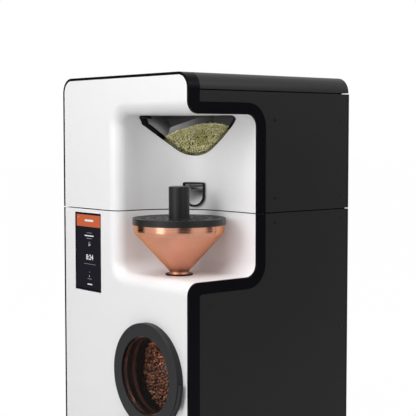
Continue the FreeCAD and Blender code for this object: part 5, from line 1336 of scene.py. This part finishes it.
@dataclass
class Studio:
    """The camera, the lamps, the floor and the pale surroundings.

    Fill and white are the world's strength as a light and to the eye, sheen and eye the floor's in gloss
    and to the camera.
    """

    camera_at: Spot = (2.6337, -2.1745, 1.0010)
    azimuth: float = 50.117
    pitch: float = 3.900
    lens: float = 96.14
    sensor: float = 36.0
    fill: float = 0.43
    white: float = 1.0
    sheen: float = 0.80
    eye: float = 1.015
    floor_wide: float = 60.0
    floor_drop: float = 0.5 * MM
    floor_paint: Color = (0.60, 0.60, 0.60)
    floor_cover: float = 0.97
    flags_away: float = 2.6
    flags_tall: float = 3.0
    flags: tuple[Flag, ...] = (
        Flag("left_flag", -60.0, 15.0, 0.02), Flag("right_flag", 65.0, 16.0, 0.04),
        Flag("rear_flag", 132.5, 10.0, 0.10))
    lamps: tuple[Lamp, ...] = (
        Lamp("front softbox", (0.35, -3.1, 1.9), (0.1, -0.2, 0.75), (1.2, 2.0), 42.5),
        Lamp("top softbox", (0.6, -1.3, 3.3), (0.15, -0.2, 0.6), (1.8, 1.2), 40.0),
        Lamp("funnel glint", (0.294, -2.19, 0.36), (0.134, -0.33, 0.72), (0.60, 0.75), 2.4,
             on_surfaces=False),
        Lamp("recess light", (0.33, -0.18, 0.82), (-0.03, -0.18, 0.80), (0.20, 0.40), 0.11,
             in_gloss=False),
        Lamp("side softbox", (1.5, 0.7, 1.9), (0.31, 0.05, 1.05), (0.7, 0.7), 5.5),
        Lamp("hopper light", Feed.out(-95 * MM, 15 * MM, 305 * MM),
             Feed.out(-75 * MM, 45 * MM, 230 * MM), (0.05, 0.02), 0.072),
        Lamp("hopper side light", Feed.out(120 * MM, 5 * MM, 305 * MM),
             Feed.out(110 * MM, 60 * MM, 250 * MM), (0.05, 0.02), 0.055),
        Lamp("drum light", (0.10, -0.262, 0.428), (0.15, -0.22, 0.31), (0.06, 0.02), 0.45,
             color=(1.0, 0.72, 0.45), in_gloss=False))

    def build(self) -> None:
        """Sets up everything that isn't part of the roaster."""
        self.camera()
        self.surroundings()
        self.floor()
        for card in self.flags:
            self.flag(card)
        for lamp in self.lamps:
            self.hang(lamp)
        bpy.context.scene.view_settings.view_transform = "Standard"

    def camera(self) -> None:
        """Places the camera at the photograph's viewing angle."""
        bpy.ops.object.camera_add(location=self.camera_at, rotation=(
            math.radians(90.0 - self.pitch), 0.0, math.radians(self.azimuth)))
        camera = bpy.context.view_layer.objects.active
        camera.data.lens = self.lens
        camera.data.sensor_width = self.sensor
        bpy.context.scene.camera = camera

    def surroundings(self) -> None:
        """Makes the world: white to the eye and in gloss, softer as a light."""
        world = bpy.data.worlds.new("studio")
        bpy.context.scene.world = world
        graph = Graph(world)
        camera = graph.node("ShaderNodeLightPath", {}, {}, "Is Camera Ray")
        seen = camera.through("MAXIMUM", graph.also(camera, "Is Glossy Ray"))
        seen = seen.through("MAXIMUM", graph.also(camera, "Is Transmission Ray"))
        graph.finish(graph.node("ShaderNodeBackground", {}, {
            "Color": (*WHITE, 1.0), "Strength": self.fill + (self.white - self.fill) * seen}),
            "ShaderNodeOutputWorld")

    def floor(self) -> None:
        """Lays a pale floor that melts into the surroundings but keeps the shadow."""
        deselect()
        bpy.ops.mesh.primitive_plane_add(size=self.floor_wide, location=(0.0, 0.0, -self.floor_drop))
        floor = started("floor")
        graph = Graph.of("pale floor")
        paint = graph.node("ShaderNodeBsdfDiffuse", {}, {"Color": (*self.floor_paint, 1.0)})
        camera = graph.node("ShaderNodeLightPath", {}, {}, "Is Camera Ray")
        glow = graph.glow(self.sheen + (self.eye - self.sheen) * camera)
        seen = camera.through("MAXIMUM", graph.also(camera, "Is Glossy Ray"))
        floor.data.materials.append(graph.finish(graph.node("ShaderNodeMixShader", {}, {
            0: seen * self.floor_cover, 1: paint, 2: glow})))

    def flag(self, card: Flag) -> None:
        """Stands a dark card beside the camera's view, where only polished metal shows it.

        Args:
            card: The card.
        """
        deselect()
        funnel = middle("funnel")
        turn = math.radians(card.azimuth)
        away = Vector((math.sin(turn), -math.cos(turn), 0.0)) * self.flags_away
        bpy.ops.mesh.primitive_plane_add(size=1.0, rotation=(math.pi / 2, 0.0, turn), location=(
            funnel.x + away.x, funnel.y + away.y, self.flags_tall / 2))
        piece = started(card.name)
        wide = 2.0 * self.flags_away * math.tan(math.radians(card.half))
        piece.scale = (wide, self.flags_tall, 1.0)
        bpy.ops.object.transform_apply(location=True, rotation=True, scale=True)
        graph = Graph.of(card.name)
        piece.data.materials.append(graph.finish(graph.glow(card.level)))
        piece.visible_camera = piece.visible_diffuse = piece.visible_shadow = False
        piece.visible_transmission = False

    def hang(self, lamp: Lamp) -> None:
        """Hangs a lamp, which the camera doesn't see.

        Args:
            lamp: The lamp.
        """
        way = Vector(lamp.aim) - Vector(lamp.spot)
        bpy.ops.object.light_add(type="AREA", location=lamp.spot,
                                 rotation=way.to_track_quat("-Z", "Y").to_euler())
        light = bpy.context.view_layer.objects.active
        light.name = lamp.name
        light.data.shape = "RECTANGLE"
        light.data.size, light.data.size_y = lamp.size
        light.data.energy = lamp.power
        light.data.color = lamp.color
        light.visible_camera = False
        light.visible_diffuse = lamp.on_surfaces
        light.visible_glossy = lamp.in_gloss


def main() -> None:
    """Dresses the roaster and sets up the studio."""
    logging.basicConfig(level=logging.INFO)
    deselect()
    recess, drum = Recess(), Drum()
    for part in (Cabinet(), recess, drum):
        dress(part.finishes())
    recess.baffle()
    drum.retainer()
    Screen().build()
    green = BeanSkin("green bean skin", (0.97, 0.92, 0.56), (0.46, 0.43, 0.11), (0.10, 0.09, 0.09),
                     roughness=0.55, oil=0.0)
    roasted = BeanSkin("roasted bean skin", (0.40, 0.135, 0.055), (0.07, 0.020, 0.009),
                       (0.010, 0.004, 0.002), roughness=0.32, oil=0.35)
    WindowHeap("green_beans", "root", "green_bean", green, length=8.4 * MM, spacing=5.4 * MM,
               toward=()).build()
    BeanHeap("roasted_beans", "root", "roasted_bean", roasted, length=11 * MM, spacing=7.4 * MM,
             toward=((0.0, -1.0, 0.0), (0.85, 0.0, 0.53)), seed=5).build()
    Studio().build()


if __name__ == "__main__":
    main()
